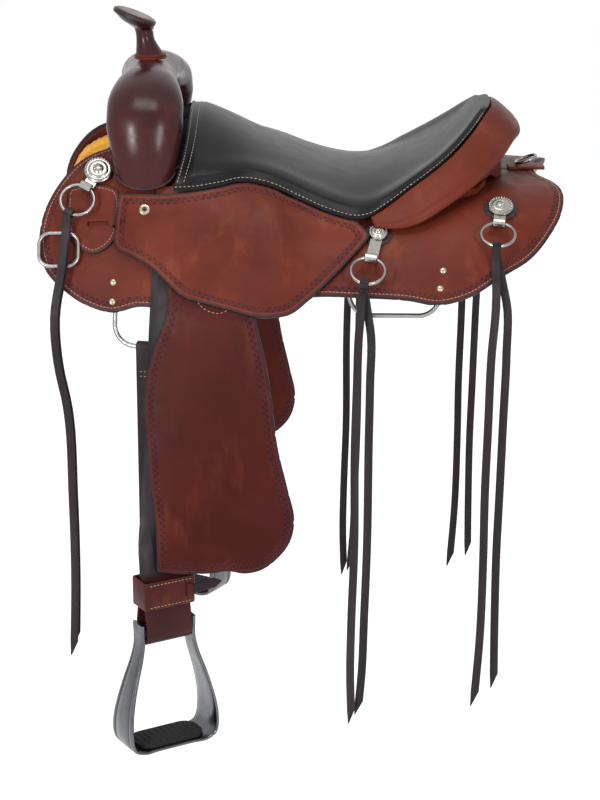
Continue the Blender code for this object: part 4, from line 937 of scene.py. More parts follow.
def make_skirt(side_name, side):
    points = seen_edge(SKIRT_EDGE, 0) + list(SKIRT_REAR) + list(SKIRT_TOP)
    rear_end = len(SKIRT_EDGE) + len(SKIRT_REAR) - 1
    outline = curved_outline(points, sharp=(0, rear_end, rear_end + 1, len(points) - 1))
    skirt = cut_panel(f"skirt_leather_{side_name}", side, outline, skirt_face, SKIRT_THICK)
    dress(skirt, SADDLE, BORDERED, f"skirt_{side_name}", slot="red_leather")
    seen = one_run([p for p in inset_line(outline, SKIRT_SEAM_IN) if p[1] > 0.085 or p[0] > 0.27])
    sewn_line(f"skirt_stitching_{side_name}", side, seen, skirt_face, SADDLE, SKIRT_SEAM)


def make_jockey(side_name, side):
    lower = [(x, distance_at_height(x, z, room_for_fender(x) + JOCKEY_THICK)) for x, z in JOCKEY_EDGE]
    top = [(x, distance_at_height(x, z, seat_lift(x)) + 0.001) for _, (x, z) in reversed(SEAT_SIDE_ROWS)]
    top[-1] = (top[-1][0], max(top[-1][1], FORK_CLEAR_S))
    top += [(-0.190, FORK_CLEAR_S + 0.002), (-0.222, FORK_CLEAR_S)]
    outline = curved_outline(lower + top, sharp=(0, len(lower) - 1, len(lower), len(lower) + len(top) - 1))
    jockey = cut_panel(f"jockey_leather_{side_name}", side, outline, jockey_face, JOCKEY_THICK)
    dress(jockey, SADDLE, BORDERED, f"jockey_{side_name}", slot="red_leather")


def make_fleece(side_name, side):
    points = seen_edge(FLEECE_EDGE, FLEECE_LIFT) + list(FLEECE_REAR) + list(FLEECE_TOP)
    outline = curved_outline(points, FLEECE_OUTLINE_STEP, (0, len(points) - 1))
    sizes = (FLEECE_THICK, FLEECE_CELL, FLEECE_RIM)
    fleece = cut_panel(f"fleece_lining_{side_name}", side, outline, fleece_face, *sizes)
    modify(fleece, "SUBSURF", subdivision_type="SIMPLE", levels=1, render_levels=1)
    pile = bpy.data.textures.new(f"pile_{side_name}", "CLOUDS")
    pile.noise_scale = PILE_SCALE
    relief = {"strength": PILE_HEIGHT, "mid_level": PILE_MIDDLE}
    modify(fleece, "DISPLACE", texture=pile, texture_coords="LOCAL", **relief)
    dress(shade(fleece, 60), SADDLE, GOLDEN, f"fleece_{side_name}", slot="fleece")


FENDER_EDGE = (
    (-0.176, 0.020), (-0.164, -0.012), (-0.160, -0.044), (-0.167, -0.068), (-0.177, -0.092),
    (-0.186, -0.124), (-0.190, -0.160), (-0.188, -0.205), (-0.186, -0.255), (-0.182, -0.300),
    (-0.181, -0.368), (-0.150, -0.3715), (-0.118, -0.3715), (-0.095, -0.370), (-0.078, -0.374),
    (-0.058, -0.371), (-0.038, -0.357), (-0.022, -0.335), (-0.016, -0.306), (-0.021, -0.268),
    (-0.030, -0.210), (-0.034, -0.160), (-0.040, -0.112), (-0.050, -0.070), (-0.058, -0.040),
    (-0.072, 0.010), (-0.100, 0.048), (-0.160, 0.052),
)
FENDER_CORNERS = (0, 10, 27)
FENDER_ARC = ((-0.130, -0.029), (-0.116, -0.044), (-0.098, -0.049), (-0.084, -0.043), (-0.074, -0.030))


def fender_flat(x, z):
    """The place in the flat hide of a point seen at (x, z) on the hanging fender."""
    middle = strap_middle_x(z)
    flat_x = middle + (x - middle) / math.cos(fender_turn(z))
    return flat_x, hang_distance(flat_x, z, FENDER_LIFT)


def make_fender(side_name, side):
    outline = curved_outline([fender_flat(x, z) for x, z in FENDER_EDGE], sharp=FENDER_CORNERS)
    body = f"fender_body_{side_name}"
    fender = cut_panel(f"fender_leather_{side_name}", side, outline, fender_face, FENDER_THICK)
    dress(fender, body, FENDER, f"fender_{side_name}", slot="fender_leather")
    arc = smooth_path([fender_flat(x, z) for x, z in FENDER_ARC], 24)
    sewn_line(f"fender_stitching_{side_name}", side, arc, fender_face, body)


KEEPER_EDGE = (
    (-0.286, 0.078), (-0.287, 0.050), (-0.281, 0.028), (-0.268, 0.015), (-0.254, 0.010),
    (-0.240, 0.015), (-0.227, 0.028), (-0.221, 0.050), (-0.222, 0.078), (-0.226, 0.0835),
    (-0.235, 0.0865), (-0.274, 0.0865), (-0.283, 0.0835),
)
KEEPER_GAP = 0.0014
KEEPER_SLOT = (-0.2475, 0.044, 0.026, 0.006)
KEEPER_STEP = 0.0030
KEEPER_RIM = 0.0002
KEEPER_SEAM = (0.0042, 0.0030, 0.0008)
KEEPER_SEAM_IN = 0.0048


def make_keeper(side_name, side):
    outline = curved_outline(seen_edge(KEEPER_EDGE, KEEPER_GAP), KEEPER_STEP)
    x, z, length, height = KEEPER_SLOT
    s = distance_at_height(x, z, 0)
    slot = (x - length / 2, x + length / 2, s - height / 2, s + height / 2)
    sizes = (COVER_THICK, KEEPER_STEP, KEEPER_RIM)
    keeper = cut_panel(f"latigo_holder_{side_name}", side, outline, keeper_face, *sizes, slot)
    dress(keeper, SADDLE, RIMMED, f"latigo_keeper_{side_name}", slot="red_leather")
    top = min(s for _, s in outline) + 0.004
    line = one_run([p for p in inset_line(outline, KEEPER_SEAM_IN) if p[1] > top])
    sewn_line(f"holder_stitching_{side_name}", side, line, keeper_face, SADDLE, KEEPER_SEAM)


# Seat

SEAT_CROWN_POWER = 2.2
SEAT_SWEEP_POWER = 4.0
SEAT_LIP = 0.0034
SEAT_PAD = 0.0062
SEAT_COLUMNS = 46
SEAT_LENGTHS = 96
SEAT_CROWDING = math.pi / 2 * 0.86
SURFACE_LIP = 0.0007
SEAT_SEAM = (0.0052, 0.0038, 0.0011)
SEAT_EDGE_SEAM_IN = 0.0022
SEAT_EDGE_SEAM_END_X = 0.232
SEAT_FRONT_SEAMS_IN = (0.0024, 0.0105)
HAND_HOLE_X = -0.170
HAND_HOLE_THICK = 0.003
HAND_HOLE_SHARES = (0.30, 0.80)


@lru_cache(maxsize=None)
def seat_rows():
    """Middle and edge point of every seat row, on the off side."""
    rows = []
    for (mx, mz), (ex, ez) in SEAT_SIDE_ROWS:
        lift = seat_lift(ex)
        rows.append((np.array((mx, 0, mz)), on_saddle(ex, distance_at_height(ex, ez, lift), lift)))
    for mx, mz, ex, ey, ez in smooth_path([middle + edge for middle, edge in SEAT_RIM_ROWS], 12):
        rows.append((np.array((mx, 0, mz)), np.array((ex, ey, ez))))
    return rows


def seat_point(middle, edge, share):
    x = middle[0] + (edge[0] - middle[0]) * abs(share) ** SEAT_SWEEP_POWER
    z = middle[2] + (edge[2] - middle[2]) * abs(share) ** SEAT_CROWN_POWER
    return np.array((x, edge[1] * share, z))


def seat_grid():
    """Dense rows of the seat's surface, from its front edge to the rear of the cantle."""
    dense = smooth_path(np.array([np.concatenate(row) for row in seat_rows()]), SEAT_LENGTHS)
    shares = np.sin(np.linspace(-1, 1, 2 * SEAT_COLUMNS + 1) * SEAT_CROWDING) / math.sin(SEAT_CROWDING)
    return np.array([[seat_point(row[:3], row[3:], share) for share in shares] for row in dense])


@np.vectorize
def pad_height(across, ahead):
    """Height of the padding where the nearest side edge and the front edge are so far away."""
    groove = -0.0013 * sum(math.exp(-(((away - SEAT_LIP) / 0.0013) ** 2)) for away in (across, ahead))
    side = eased((across - SEAT_LIP) / 0.012)
    roll = 0.55 + 0.45 * math.exp(-(((across - 0.026) / 0.020) ** 2))
    front = eased((ahead - SEAT_LIP) / 0.016)
    return SURFACE_LIP + groove + SEAT_PAD * side * roll * (0.15 + 0.85 * front)


@lru_cache(maxsize=None)
def seat_surface():
    """The seat's rows of points with their normals and padded top, and their ways from the edges."""
    grid = seat_grid()
    from_near = np.array([path_keys(row) for row in grid])
    from_off = from_near[:, -1:] - from_near
    ahead = np.array([path_keys(column) for column in grid.transpose(1, 0, 2)]).T
    rear = np.linalg.norm(grid - grid[-1], axis=2)
    normals = unit(np.cross(np.gradient(grid, axis=0), np.gradient(grid, axis=1)))
    normals *= np.sign(normals[..., 2:3])
    raised = pad_height(np.minimum(np.minimum(from_near, from_off), rear), ahead)
    return grid, normals, grid + normals * raised[..., None], from_near, from_off, ahead


def make_seat_cover():
    grid, _, top, _, _, _ = seat_surface()
    bottom = grid - np.array((0, 0, COVER_THICK))
    rows, columns = grid.shape[:2]
    count = rows * columns
    faces = []
    for i in range(rows - 1):
        for j in range(columns - 1):
            a = i * columns + j
            faces.append((a, a + 1, a + columns + 1, a + columns))
            faces.append((count + a, count + a + columns, count + a + columns + 1, count + a + 1))
    rim = [i * columns for i in range(rows)] + [(rows - 1) * columns + j for j in range(1, columns)]
    rim += [i * columns + columns - 1 for i in range(rows - 2, -1, -1)] + list(range(columns - 2, 0, -1))
    for a, b in zip(rim, rim[1:] + rim[:1]):
        faces.append((a, b, count + b, count + a))
    points = np.concatenate([top.reshape(-1, 3), bottom.reshape(-1, 3)])
    cover = turn_outwards(mesh_piece("padded_seat", points, faces))
    dress(shade(cover, 60), SADDLE, SEAT_BLACK, "seat_cover", slot="black_leather")


def make_hand_holes():
    """The leather round the gap between the seat's front corners and the swell."""
    _, _, top, from_near, _, _ = seat_surface()
    half = top.shape[1] // 2
    keys = from_near[0, half:] - from_near[0, half]
    for side_name, side in SIDES:
        rings = []
        for share in np.linspace(*HAND_HOLE_SHARES, 16):
            x, y, z = interp_point(share * from_near[0, -1] / 2, keys, top[0, half:])
            inner = Vector((x + 0.0015, side * y, z - 0.0004))
            outer = Vector((HAND_HOLE_X, side * (y + 0.002), z - 0.010))
            line = [inner, inner.lerp(outer, 0.5) - UP * 0.002, outer]
            rings.append(line + [p - UP * HAND_HOLE_THICK for p in reversed(line)])
        dress(shade(skin(f"hand_hole_leather_{side_name}", rings), 50), SADDLE, SEAT_BLACK)


def make_seat_stitching():
    grid, normals, top, from_near, from_off, ahead = seat_surface()
    surface = grid + normals * SURFACE_LIP
    half = slice(grid.shape[1] // 2 + 1)
    sides = (("near", NEAR, from_near, surface), ("off", OFF, from_off[:, ::-1], surface[:, ::-1]))
    for side_name, side, keys, lines in sides:
        points = [interp_point(SEAT_EDGE_SEAM_IN, key[half], line[half]) for key, line in zip(keys, lines)]
        points = [p for p in points if p[0] < SEAT_EDGE_SEAM_END_X]
        ways = [(0, side * 0.75, 0.66)] * len(points)
        row = stitch_row(f"seat_edge_stitching_{side_name}", points, ways, *SEAT_SEAM)
        dress(row, SADDLE, THREAD)
    columns = range(4, grid.shape[1] - 4)
    for number, distance in enumerate(SEAT_FRONT_SEAMS_IN, 1):
        points = [interp_point(distance, ahead[:, j], top[:, j]) for j in columns]
        ways = [interp_point(distance, ahead[:, j], normals[:, j]) for j in columns]
        row = stitch_row(f"seat_front_stitching_{number}", points, ways, 0.0052, 0.0036, 0.0011)
        dress(row, SADDLE, THREAD)


# Cantle

ROLL_WIDTH = 0.050
ROLL_THICK = 0.0125
ROLL_SLOPE = math.radians(42)
ROLL_GAP = 0.0012
ROLL_SEAM_AT = 0.66
ROLL_SEAM_WIDTH = 0.06
ROLL_SEAM_DEPTH = 0.0016


def cantle_rim():
    rows = seat_rows()[len(SEAT_SIDE_ROWS) :]
    middle, edge = rows[-1]
    off = [edge for _, edge in rows] + [seat_point(middle, edge, share) for share in (0.75, 0.5, 0.25)]
    return off + [middle] + [p * (1, -1, 1) for p in reversed(off)]


def rounded_square(turn):
    return [math.copysign(abs(wave(turn)) ** 0.8, wave(turn)) for wave in (math.cos, math.sin)]


def make_cantle_roll():
    points = smooth_path(cantle_rim(), 140)
    rings = []
    for i, point in enumerate(points):
        ahead_x, ahead_y, _ = heading(points, i)
        outward = Vector((-ahead_y, ahead_x, 0)).normalized()
        along = outward * math.cos(ROLL_SLOPE) - UP * math.sin(ROLL_SLOPE)
        through = outward * math.sin(ROLL_SLOPE) + UP * math.cos(ROLL_SLOPE)
        share = i / (len(points) - 1)
        full = 0.30 + 0.70 * math.sin(math.pi / 2 * min(1.0, 2.5 * math.sin(math.pi * share)))
        half = ROLL_WIDTH / 2 * full
        centre = Vector(point) + along * (half + ROLL_GAP) - UP * (ROLL_THICK * 0.25)
        ring = []
        for a, b in map(rounded_square, round_turns(40)):
            height = b * ROLL_THICK / 2 * full
            if b > 0:
                height -= ROLL_SEAM_DEPTH * full * math.exp(-(((a - ROLL_SEAM_AT) / ROLL_SEAM_WIDTH) ** 2))
            ring.append(centre + along * (a * half) + through * height)
        rings.append(ring)
    roll = skin("cantle_binding", rings)
    dress(shade(roll, 60), SADDLE, PLAIN_RUSSET, "cantle_roll", slot="red_leather")


# Swell and horn

FORK_X = -0.190
# Fork sections: y, z, half length along x, half thickness
FORK_ARCH = (
    (0.139, 0.153, 0.0460, 0.0260), (0.131, 0.171, 0.0470, 0.0270), (0.113, 0.187, 0.0460, 0.0260),
    (0.083, 0.197, 0.0410, 0.0250), (0.048, 0.200, 0.0350, 0.0240), (0.018, 0.200, 0.0310, 0.0240),
    (0.0, 0.200, 0.0300, 0.0240),
)
FORK_FOOT_LENGTH = 0.036
# Horn sections: x, z, radius, tilt in degrees
HORN_NECK = (
    (-0.190, 0.2258, 0.0190, 0), (-0.1945, 0.240, 0.0135, -3), (-0.1975, 0.257, 0.0115, 4),
    (-0.2025, 0.264, 0.0170, 14), (-0.2085, 0.271, 0.0250, 20), (-0.2100, 0.2745, 0.0272, 21),
)
# The cap's rings as height and radius over the neck's last section, and those of its dark edge
HORN_CAP = (
    (0.0004, -0.0012), (0.0010, 0.0), (0.0024, 0.0004), (0.0042, 0.0002), (0.0054, -0.0012),
    (0.0062, -0.0034), (0.0064, -0.0060), (0.0065, -0.0095),
)
HORN_CAP_EDGE = (
    (0.0002, -0.0010), (-0.0006, 0.0004), (0.0004, 0.0010), (0.0036, 0.0010), (0.0044, 0.0004),
    (0.0040, -0.0006),
)
HORN_CAP_SEAM = (0.0060, -0.0052)
HORN_BANDS = ((-0.1900, 0.2246, 0.0192), (-0.1903, 0.2275, 0.0184))
HORN_BAND_RADIUS = 0.0017
WELT_RADIUS = 0.0015


def swell_rings():
    """Dense rings over the whole arch of the fork, smoothed between the tree's own sections."""
    foot = on_saddle(FORK_X, FORK_FOOT_S, BAR_ROOM + LAYER_GAP)
    _, _, out = surface_frame(FORK_X, FORK_FOOT_S, OFF)
    rows = [(foot[1], foot[2], FORK_FOOT_LENGTH, FORK_FOOT_HALF, out.y, out.z)]
    line = [Vector((y, z)) for y, z, _, _ in FORK_ARCH]
    line = [Vector((foot[1], foot[2])), *line, Vector((-line[-2].x, line[-2].y))]
    for before, after, section in zip(line, line[2:], FORK_ARCH):
        rows.append((*section, *(after - before).normalized()))
    keys = np.arange(len(rows))
    rings = []
    for at in np.linspace(0, keys[-1], keys[-1] * 7 + 1):
        y, z, half_x, half_in, ty, tz = smooth_through(keys, rows, at)
        length = math.hypot(ty, tz)
        ty, tz = ty / length, tz / length
        ring = [(math.cos(turn) * half_x, math.sin(turn) * half_in) for turn in round_turns(44)]
        rings.append([Vector((FORK_X + a, y + tz * b, z - ty * b)) for a, b in ring])
    mirrored = [[Vector((p.x, -p.y, p.z)) for p in ring] for ring in rings[:-1]]
    return rings + mirrored[::-1]


def make_swell():
    rings = swell_rings()
    dress(shade(skin("swell_hide", rings), 60), SADDLE, SWELL, "swell_cover", slot="swell_leather")
    for side_name, ring, inner in (("off", rings[0], rings[4]), ("near", rings[-1], rings[-5])):
        middle = sum(ring, Vector()) / len(ring)
        normal = (sum(inner, Vector()) / len(inner) - middle).normalized()
        welt = [p + (p - middle).normalized() * LAYER_GAP + normal * WELT_RADIUS for p in ring]
        dress(tube(f"swell_welt_{side_name}", welt, WELT_RADIUS, normal), SADDLE, INKED_AND_SHADE)


def tilted_ring(x, z, radius, tilt):
    slant = math.radians(tilt)
    across = Vector((math.cos(slant), 0, -math.sin(slant)))
    ring = [(radius * math.cos(t), radius * math.sin(t)) for t in round_turns(48)]
    return [Vector((x, 0, z)) + across * a + ACROSS * b for a, b in ring]


def make_horn():
    wrap = skin("horn_hide", [tilted_ring(*row) for row in smooth_path(HORN_NECK, 40)])
    dress(shade(wrap, 60), SADDLE, SWELL, "horn_wrap", slot="swell_leather")
    x, z, radius, tilt = HORN_NECK[-1]
    rise = Vector((math.sin(math.radians(tilt)), 0, math.cos(math.radians(tilt))))

    def cap_ring(up, wider):
        return tilted_ring(x + up * rise.x, z + up * rise.z, radius + wider, tilt)

    cap = skin("horn_cap_hide", [cap_ring(*row) for row in HORN_CAP])
    dress(shade(cap, 60), SADDLE, SWELL, "horn_cap_cover", slot="swell_leather")
    rim = skin("horn_cap_edge", [cap_ring(*row) for row in HORN_CAP_EDGE], caps=False)
    modify(rim, "SOLIDIFY", thickness=0.0004)
    dress(shade(rim, 60), SADDLE, INKED_AND_SHADE)
    row = cap_ring(*HORN_CAP_SEAM)
    dress(stitch_row("horn_cap_stitching", row + row[:1], [rise] * (len(row) + 1)), SADDLE, THREAD)
    for number, band in enumerate(HORN_BANDS, 1):
        ring = tube(f"horn_band_{number}", tilted_ring(*band, -1), HORN_BAND_RADIUS, UP)
        dress(ring, SADDLE, PLAIN_RUSSET)


# Conchos, rings and strings

RING_RADIUS = 0.0205
RING_WIRE = 0.0020
EYE_INNER = 0.0045
CLIP_THICK = 0.0014
STRING_WIDTH = 0.0110
STRING_THICK = 0.0026
STRING_SLACK = 0.0018
STRING_END = 0.004
STRING_POINT = 0.016
STRING_SLANT = 0.8
# Name, x, z, radius, turn in degrees, distance of the clip's eye, its height
CONCHOS = (
    ("front", -0.248, 0.101, 0.0165, 29, 0.0285, 0.0120),
    ("mid", 0.095, 0.036, 0.0115, 12, 0.0450, 0.0078),
    ("rear", 0.246, 0.062, 0.0150, 7, 0.0345, 0.0078),
)
# Turned plates and studs, as share of the radius and height
CONCHO_PLATE = (
    (0.10, 0.0061), (0.24, 0.0056), (0.36, 0.0046), (0.40, 0.0040), (0.46, 0.0043), (0.58, 0.0042),
    (0.70, 0.0036), (0.78, 0.0026), (0.84, 0.0026), (0.92, 0.0024), (1.03, 0.0010), (1.04, 0.0002),
    (1.00, -0.0003), (0.30, -0.0003),
)
ROUND_STUD = ((0.30, 0.0017), (0.55, 0.0015), (0.80, 0.0011), (0.97, 0.0004), (1.0, -0.0004))
RING_STUD = ((0.38, 0.0004), (0.42, 0.0016), (0.60, 0.0018), (0.86, 0.0012), (1.0, -0.0004))
SLOT_SHADE_DOT = ((0.36, 0.0007), (0.37, 0.0))
PETALS = 8
PETAL = ((0.12, 0.0060), (0.24, 0.0058), (0.34, 0.0049))
ROSETTES = {"mid": (0.0175, 12), "rear": (0.0205, 14)}
ROSETTE_HOLE = 0.0042


def plate_profile(radius, middle, height, rows, base=0.0):
    return [(middle, base + height)] + [(share * radius, base + up) for share, up in rows]


def make_concho(place, side_name, side):
    name, x, z, r, turn, eye, lift = place
    origin, across, down, out = spot(x, z, side, 0)
    turn = math.radians(turn)
    cos, sin = math.cos(turn), math.sin(turn)
    across, down = across * cos + down * sin, down * cos - across * sin
    plate = lift - EYE_INNER - CLIP_THICK / 2
    base = plate + 0.0011
    facing = (origin, across, down, out)
    profile = plate_profile(r, 0.0003, 0.0062, CONCHO_PLATE, base)
    pieces = [disc(f"concho_plate_{name}_{side_name}", *facing, profile)]
    turns = round_turns(26 if r > 0.013 else 20)
    centres = [around(origin, across, down, 0.915 * r, t) + out * (base + 0.0026) for t in turns]
    sizes = [np.eye(3) * (r * 0.085)] * len(centres)
    pieces.append(bead_row(f"concho_beads_{name}_{side_name}", 8, 6, centres, sizes))
    petals = []
    for k, t in enumerate(round_turns(PETALS)):
        points = [around(origin, across, down, r * share, t) + out * (base + up) for share, up in PETAL]
        petals.append(tube(f"petal_{k}", points, r * 0.030, closed=False, sides=8))
    pieces.append(join(f"concho_flower_{name}_{side_name}", petals))
    for piece in pieces:
        dress(piece, SADDLE, SILVER)
    if name in ROSETTES:
        wide, waves = ROSETTES[name]
        low = LAYER_GAP
        high = plate - CLIP_THICK / 2 - 0.0002
        rings = [(ROSETTE_HOLE, low), (ROSETTE_HOLE, high), (wide - 0.0008, high), (wide, (low + high) / 2)]
        rings += [(wide - 0.0008, low), (ROSETTE_HOLE, low)]
        dress(disc(f"rosette_{name}_{side_name}", *facing, rings, waves, 0.045, 12 * waves), SADDLE, INKED_AND_SHADE)
    ring_at = origin + down * (eye + RING_RADIUS) + out * lift
    circle = [around(ring_at, across, down, RING_RADIUS, t) for t in round_turns(56)]
    ring = tube(f"steel_ring_{name}_{side_name}", circle, RING_WIRE, out)
    body = f"string_{name}_{side_name}_body"
    dress(ring, body, POLISHED, f"string_ring_{name}_{side_name}", slot="chrome")
    return ring_at + down * RING_RADIUS, across, down, out


def stud(name, x, z, lift, r, side, ringed=False):
    facing = spot(x, z, side, lift)
    height, rows = (0.0004, RING_STUD) if ringed else (0.0017, ROUND_STUD)
    dress(disc(name, *facing, plate_profile(r, 0.0002, height, rows), segments=32), SADDLE, BRASS)
    # Painted shade: a flat dark disc in the screw's middle stands for the shade in its slot.
    if ringed:
        dot = disc(f"{name}_slot", *facing, plate_profile(r, 0.0002, 0.0009, SLOT_SHADE_DOT), segments=24)
        dress(dot, SADDLE, INKED_AND_SHADE)


STRING_TAILS = {
    "front": (
        ((-0.290, 0.000), (-0.299, -0.060), (-0.296, -0.120), (-0.287, -0.170), (-0.283, -0.290),
         (-0.283, -0.400), (-0.287, -0.502)),
        ((-0.288, 0.000), (-0.297, -0.060), (-0.294, -0.120), (-0.285, -0.170), (-0.281, -0.290),
         (-0.281, -0.400), (-0.284, -0.490)),
    ),
    "mid": (
        ((0.071, -0.068), (0.069, -0.134), (0.067, -0.212), (0.067, -0.345), (0.064, -0.445),
         (0.063, -0.510), (0.065, -0.581)),
        ((0.085, -0.068), (0.085, -0.134), (0.084, -0.212), (0.083, -0.345), (0.080, -0.445),
         (0.078, -0.510), (0.073, -0.572)),
    ),
    "rear": (
        ((0.236, -0.040), (0.232, -0.100), (0.230, -0.190), (0.228, -0.280), (0.228, -0.360),
         (0.226, -0.470), (0.220, -0.563)),
        ((0.250, -0.040), (0.251, -0.100), (0.249, -0.190), (0.247, -0.280), (0.245, -0.360),
         (0.245, -0.450), (0.246, -0.542)),
    ),
}
# Height of the skirt's edge, lift of the outer tail, lift of the inner one
STRING_EDGE = {
    "front": (-0.045, 0.0180, 0.0140),
    "mid": (-0.030, 0.0110, 0.0045),
    "rear": (-0.016, 0.0110, 0.0050),
}


def tail_path(edge_z, side, tail, lift, start):
    """A string's way from its ring over the skirt's edge and straight down."""
    edge_x = tail[0][0]
    lip = on_saddle(edge_x, distance_at_height(edge_x, edge_z, lift), lift)[1]
    first = (start.x, start.z)
    near = [tuple(a + (b - a) * share for a, b in zip(first, tail[0])) for share in (0.3, 0.7)]
    points = [np.array(start)]
    for x, z in near + list(tail):
        if z > edge_z:
            y = on_saddle(x, distance_at_height(x, z, lift), lift)[1]
        else:
            y = lip + min(0.004, (edge_z - z) * 0.1)
        points.append(np.array(Vector((x, side * y, z))))
    keys = path_keys(points)
    return [Vector(smooth_through(keys, points, keys[-1] * share)) for share in np.linspace(0, 1, 40) ** 1.35]


def make_strings(name, side_name, side, hold):
    wire_at, across, down, out = hold
    fold = RING_WIRE + STRING_SLACK + STRING_THICK / 2
    edge_z, *lifts = STRING_EDGE[name]
    body = f"string_{name}_{side_name}_body"
    node = f"strings_{name}_{side_name}"
    slant = math.copysign(STRING_SLANT, -across.x)
    width = STRING_WIDTH * 0.94
    thick = STRING_THICK * 0.9
    for tail, lift, way, part in zip(STRING_TAILS[name], lifts, (1, -1), ("outer", "inner")):
        path = tail_path(edge_z, side, tail, lift, wire_at + out * (fold * way) + down * STRING_END)
        piece = thong(f"string_{part}_{name}_{side_name}", path, across, width, thick, STRING_POINT, slant)
        dress(piece, body, THONG, node, slot="strap_leather")
        length = path_length(path)
    turns = [math.radians(degrees) for degrees in range(0, 181, 15)]
    over = [wire_at + out * (fold * math.cos(t)) - down * (fold * math.sin(t)) for t in turns]
    over = [over[0] + down * STRING_END] + over + [over[-1] + down * STRING_END]
    piece = thong(f"string_fold_{name}_{side_name}", over, across, STRING_WIDTH, STRING_THICK)
    dress(piece, body, THONG, node, slot="strap_leather")


# Rigging

RIG_WIRE = 0.0030
RIG_CORNER = 0.026
RIG_WIDTH = 0.110
# Name, x, height of the top, height of the bottom, room let out under the skirt
RIG_DEES = (("front", -0.1715, -0.027, -0.098, 0.0012), ("rear", 0.115, 0.000, -0.056, 0.0003))
RIG_HANG = math.radians(80)
LATIGO_WIDTH = 0.044
LATIGO_X = -0.178
LATIGO_END_Z = -0.397
LATIGO_HOLE = 0.0030
LATIGO_FIRST_HOLE = 0.030
LATIGO_HOLE_PITCH = 0.038
LATIGO_SEAMS_DOWN = (0.030, 0.036)
STRAP_POINT = 0.012
BILLET_END_Z = -0.330
BREAST_WIRE = 0.0025
BREAST_DEE = (-0.295, 0.016, 0.0265, 0.0175)
BREAST_CORNER = 0.014
BREAST_LIFT = 0.0005
CRUPPER_TAB = (0.268, 0.314, 0.030, 0.0040)
CRUPPER_BAR_X = 0.279
CRUPPER_DEE = (0.026, 0.013, 0.0020, 0.010)
CRUPPER_RISE = math.radians(20)


def rig_frame(place, side):
    """The middle of a rigging dee's top and bottom bars, with its directions across and down."""
    _, x, top, bottom, let_out = place
    ends = []
    for at in (x - RIG_WIDTH / 2, x, x + RIG_WIDTH / 2):
        _, y, z = on_saddle(at, distance_at_height(at, top, 0), -SKIRT_THICK - RIG_WIRE + let_out)
        ends.append(Vector((at, side * y, 0)))
    across = (ends[2] - ends[0]).normalized()
    middle_y = (ends[0].y + ends[2].y) / 2
    origin = Vector((x, middle_y + side * min(0.0, side * (ends[1].y - middle_y)), z))
    outward = ACROSS * side
    outward = (outward - across * outward.dot(across)).normalized()
    down = outward * math.cos(RIG_HANG) - UP * math.sin(RIG_HANG)
    return origin, origin + down * ((origin.z - bottom) / math.sin(RIG_HANG)), across, down


def make_rig_dee(place, side_name, side):
    top, low, across, down = rig_frame(place, side)
    outline = rounded_loop(RIG_WIDTH / 2, (low - top).length / 2, RIG_CORNER)
    points = [(top + low) / 2 + across * a - down * b for a, b in outline]
    dee = tube(f"rig_dee_{place[0]}_{side_name}", points, RIG_WIRE, across.cross(down))
    dress(dee, SADDLE, NICKEL, f"rigging_dee_{place[0]}_{side_name}", slot="steel")


def punch(obj, at, along, radius):
    """A round hole through a strap."""
    turn = Vector(along).to_track_quat("Z", "Y").to_euler()
    bpy.ops.mesh.primitive_cylinder_add(vertices=20, radius=radius, depth=0.02, location=at, rotation=turn)
    return cut_away(obj, settle(bpy.context.object))


def make_latigo(name, node, body, side, end_z):
    """A strap folded round the front rigging dee's lower bar, sewn to itself below it."""
    _, low, across, _ = rig_frame(RIG_DEES[0], side)
    bar = low + across * ((LATIGO_X - low.x) / across.x)
    fold = RIG_WIRE + 2 * TOUCH + STRAP_THICK / 2
    out = across.cross(UP) * -side
    out *= side * out.y / abs(out.y)
    front = bar + out * fold
    path = [bar - out * fold - UP * d for d in (0.08, 0.05, 0.02)]
    turns = np.linspace(math.pi, 0, 13)
    path += [bar + out * (fold * math.cos(t)) + UP * (fold * math.sin(t)) for t in turns]
    path += [Vector((front.x, front.y, z)) for z in np.linspace(bar.z - 0.02, end_z, 26)]
    strap = thong(name, path, across, LATIGO_WIDTH, STRAP_THICK, STRAP_POINT)
    for step in range(4):
        hole_z = end_z + LATIGO_FIRST_HOLE + LATIGO_HOLE_PITCH * step
        punch(strap, (front.x, front.y, hole_z), out, LATIGO_HOLE)
    dress(shade(strap, 35), body, LATIGO, node, slot="strap_leather")
    face = front + out * (STRAP_THICK / 2)
    shares = np.linspace(-0.42, 0.42, 20)
    for number, down in enumerate(LATIGO_SEAMS_DOWN, 1):
        points = [face + across * (share * LATIGO_WIDTH) - UP * down for share in shares]
        dress(stitch_row(f"{name}_stitching_{number}", points, [out] * len(points), *FINE_SEAM), body, THREAD)


def make_breast_dee(side_name, side):
    x, z, half_x, half_s = BREAST_DEE
    over = KEEPER_GAP + COVER_THICK + TOUCH + BREAST_WIRE
    middle, across, down, out = spot(x, z, side, over, BREAST_LIFT)
    outline = rounded_loop(half_x - BREAST_WIRE, half_s + 0.003, BREAST_CORNER)
    points = [middle + across * a + down * b for a, b in outline]
    dee = tube(f"breast_collar_dee_{side_name}", points, BREAST_WIRE, out)
    dress(dee, SADDLE, NICKEL, f"breast_dee_{side_name}", slot="steel")


def make_crupper():
    front, rear, width, thick = CRUPPER_TAB
    heights = [(x, on_saddle(x, 0, LAYER_GAP + thick / 2)[2]) for x in np.linspace(front, rear, 12)]
    tab = thong("crupper_leather", [Vector((x, 0, z)) for x, z in heights], ACROSS, width, thick)
    dress(tab, SADDLE, PLAIN_RUSSET, "crupper_tab", slot="red_leather")
    length, half, radius, corner = CRUPPER_DEE
    top = on_saddle(CRUPPER_BAR_X, 0, LAYER_GAP + thick + 2 * TOUCH + radius)[2]
    away = Vector((math.cos(CRUPPER_RISE), 0, math.sin(CRUPPER_RISE)))
    middle = Vector((CRUPPER_BAR_X, 0, top)) + away * (length / 2)
    points = [middle + away * a + ACROSS * b for a, b in rounded_loop(length / 2, half, corner)]
    dee = tube("crupper_loop", points, radius, away.cross(ACROSS))
    dress(dee, "crupper_dee_body", POLISHED, "crupper_dee", slot="chrome")


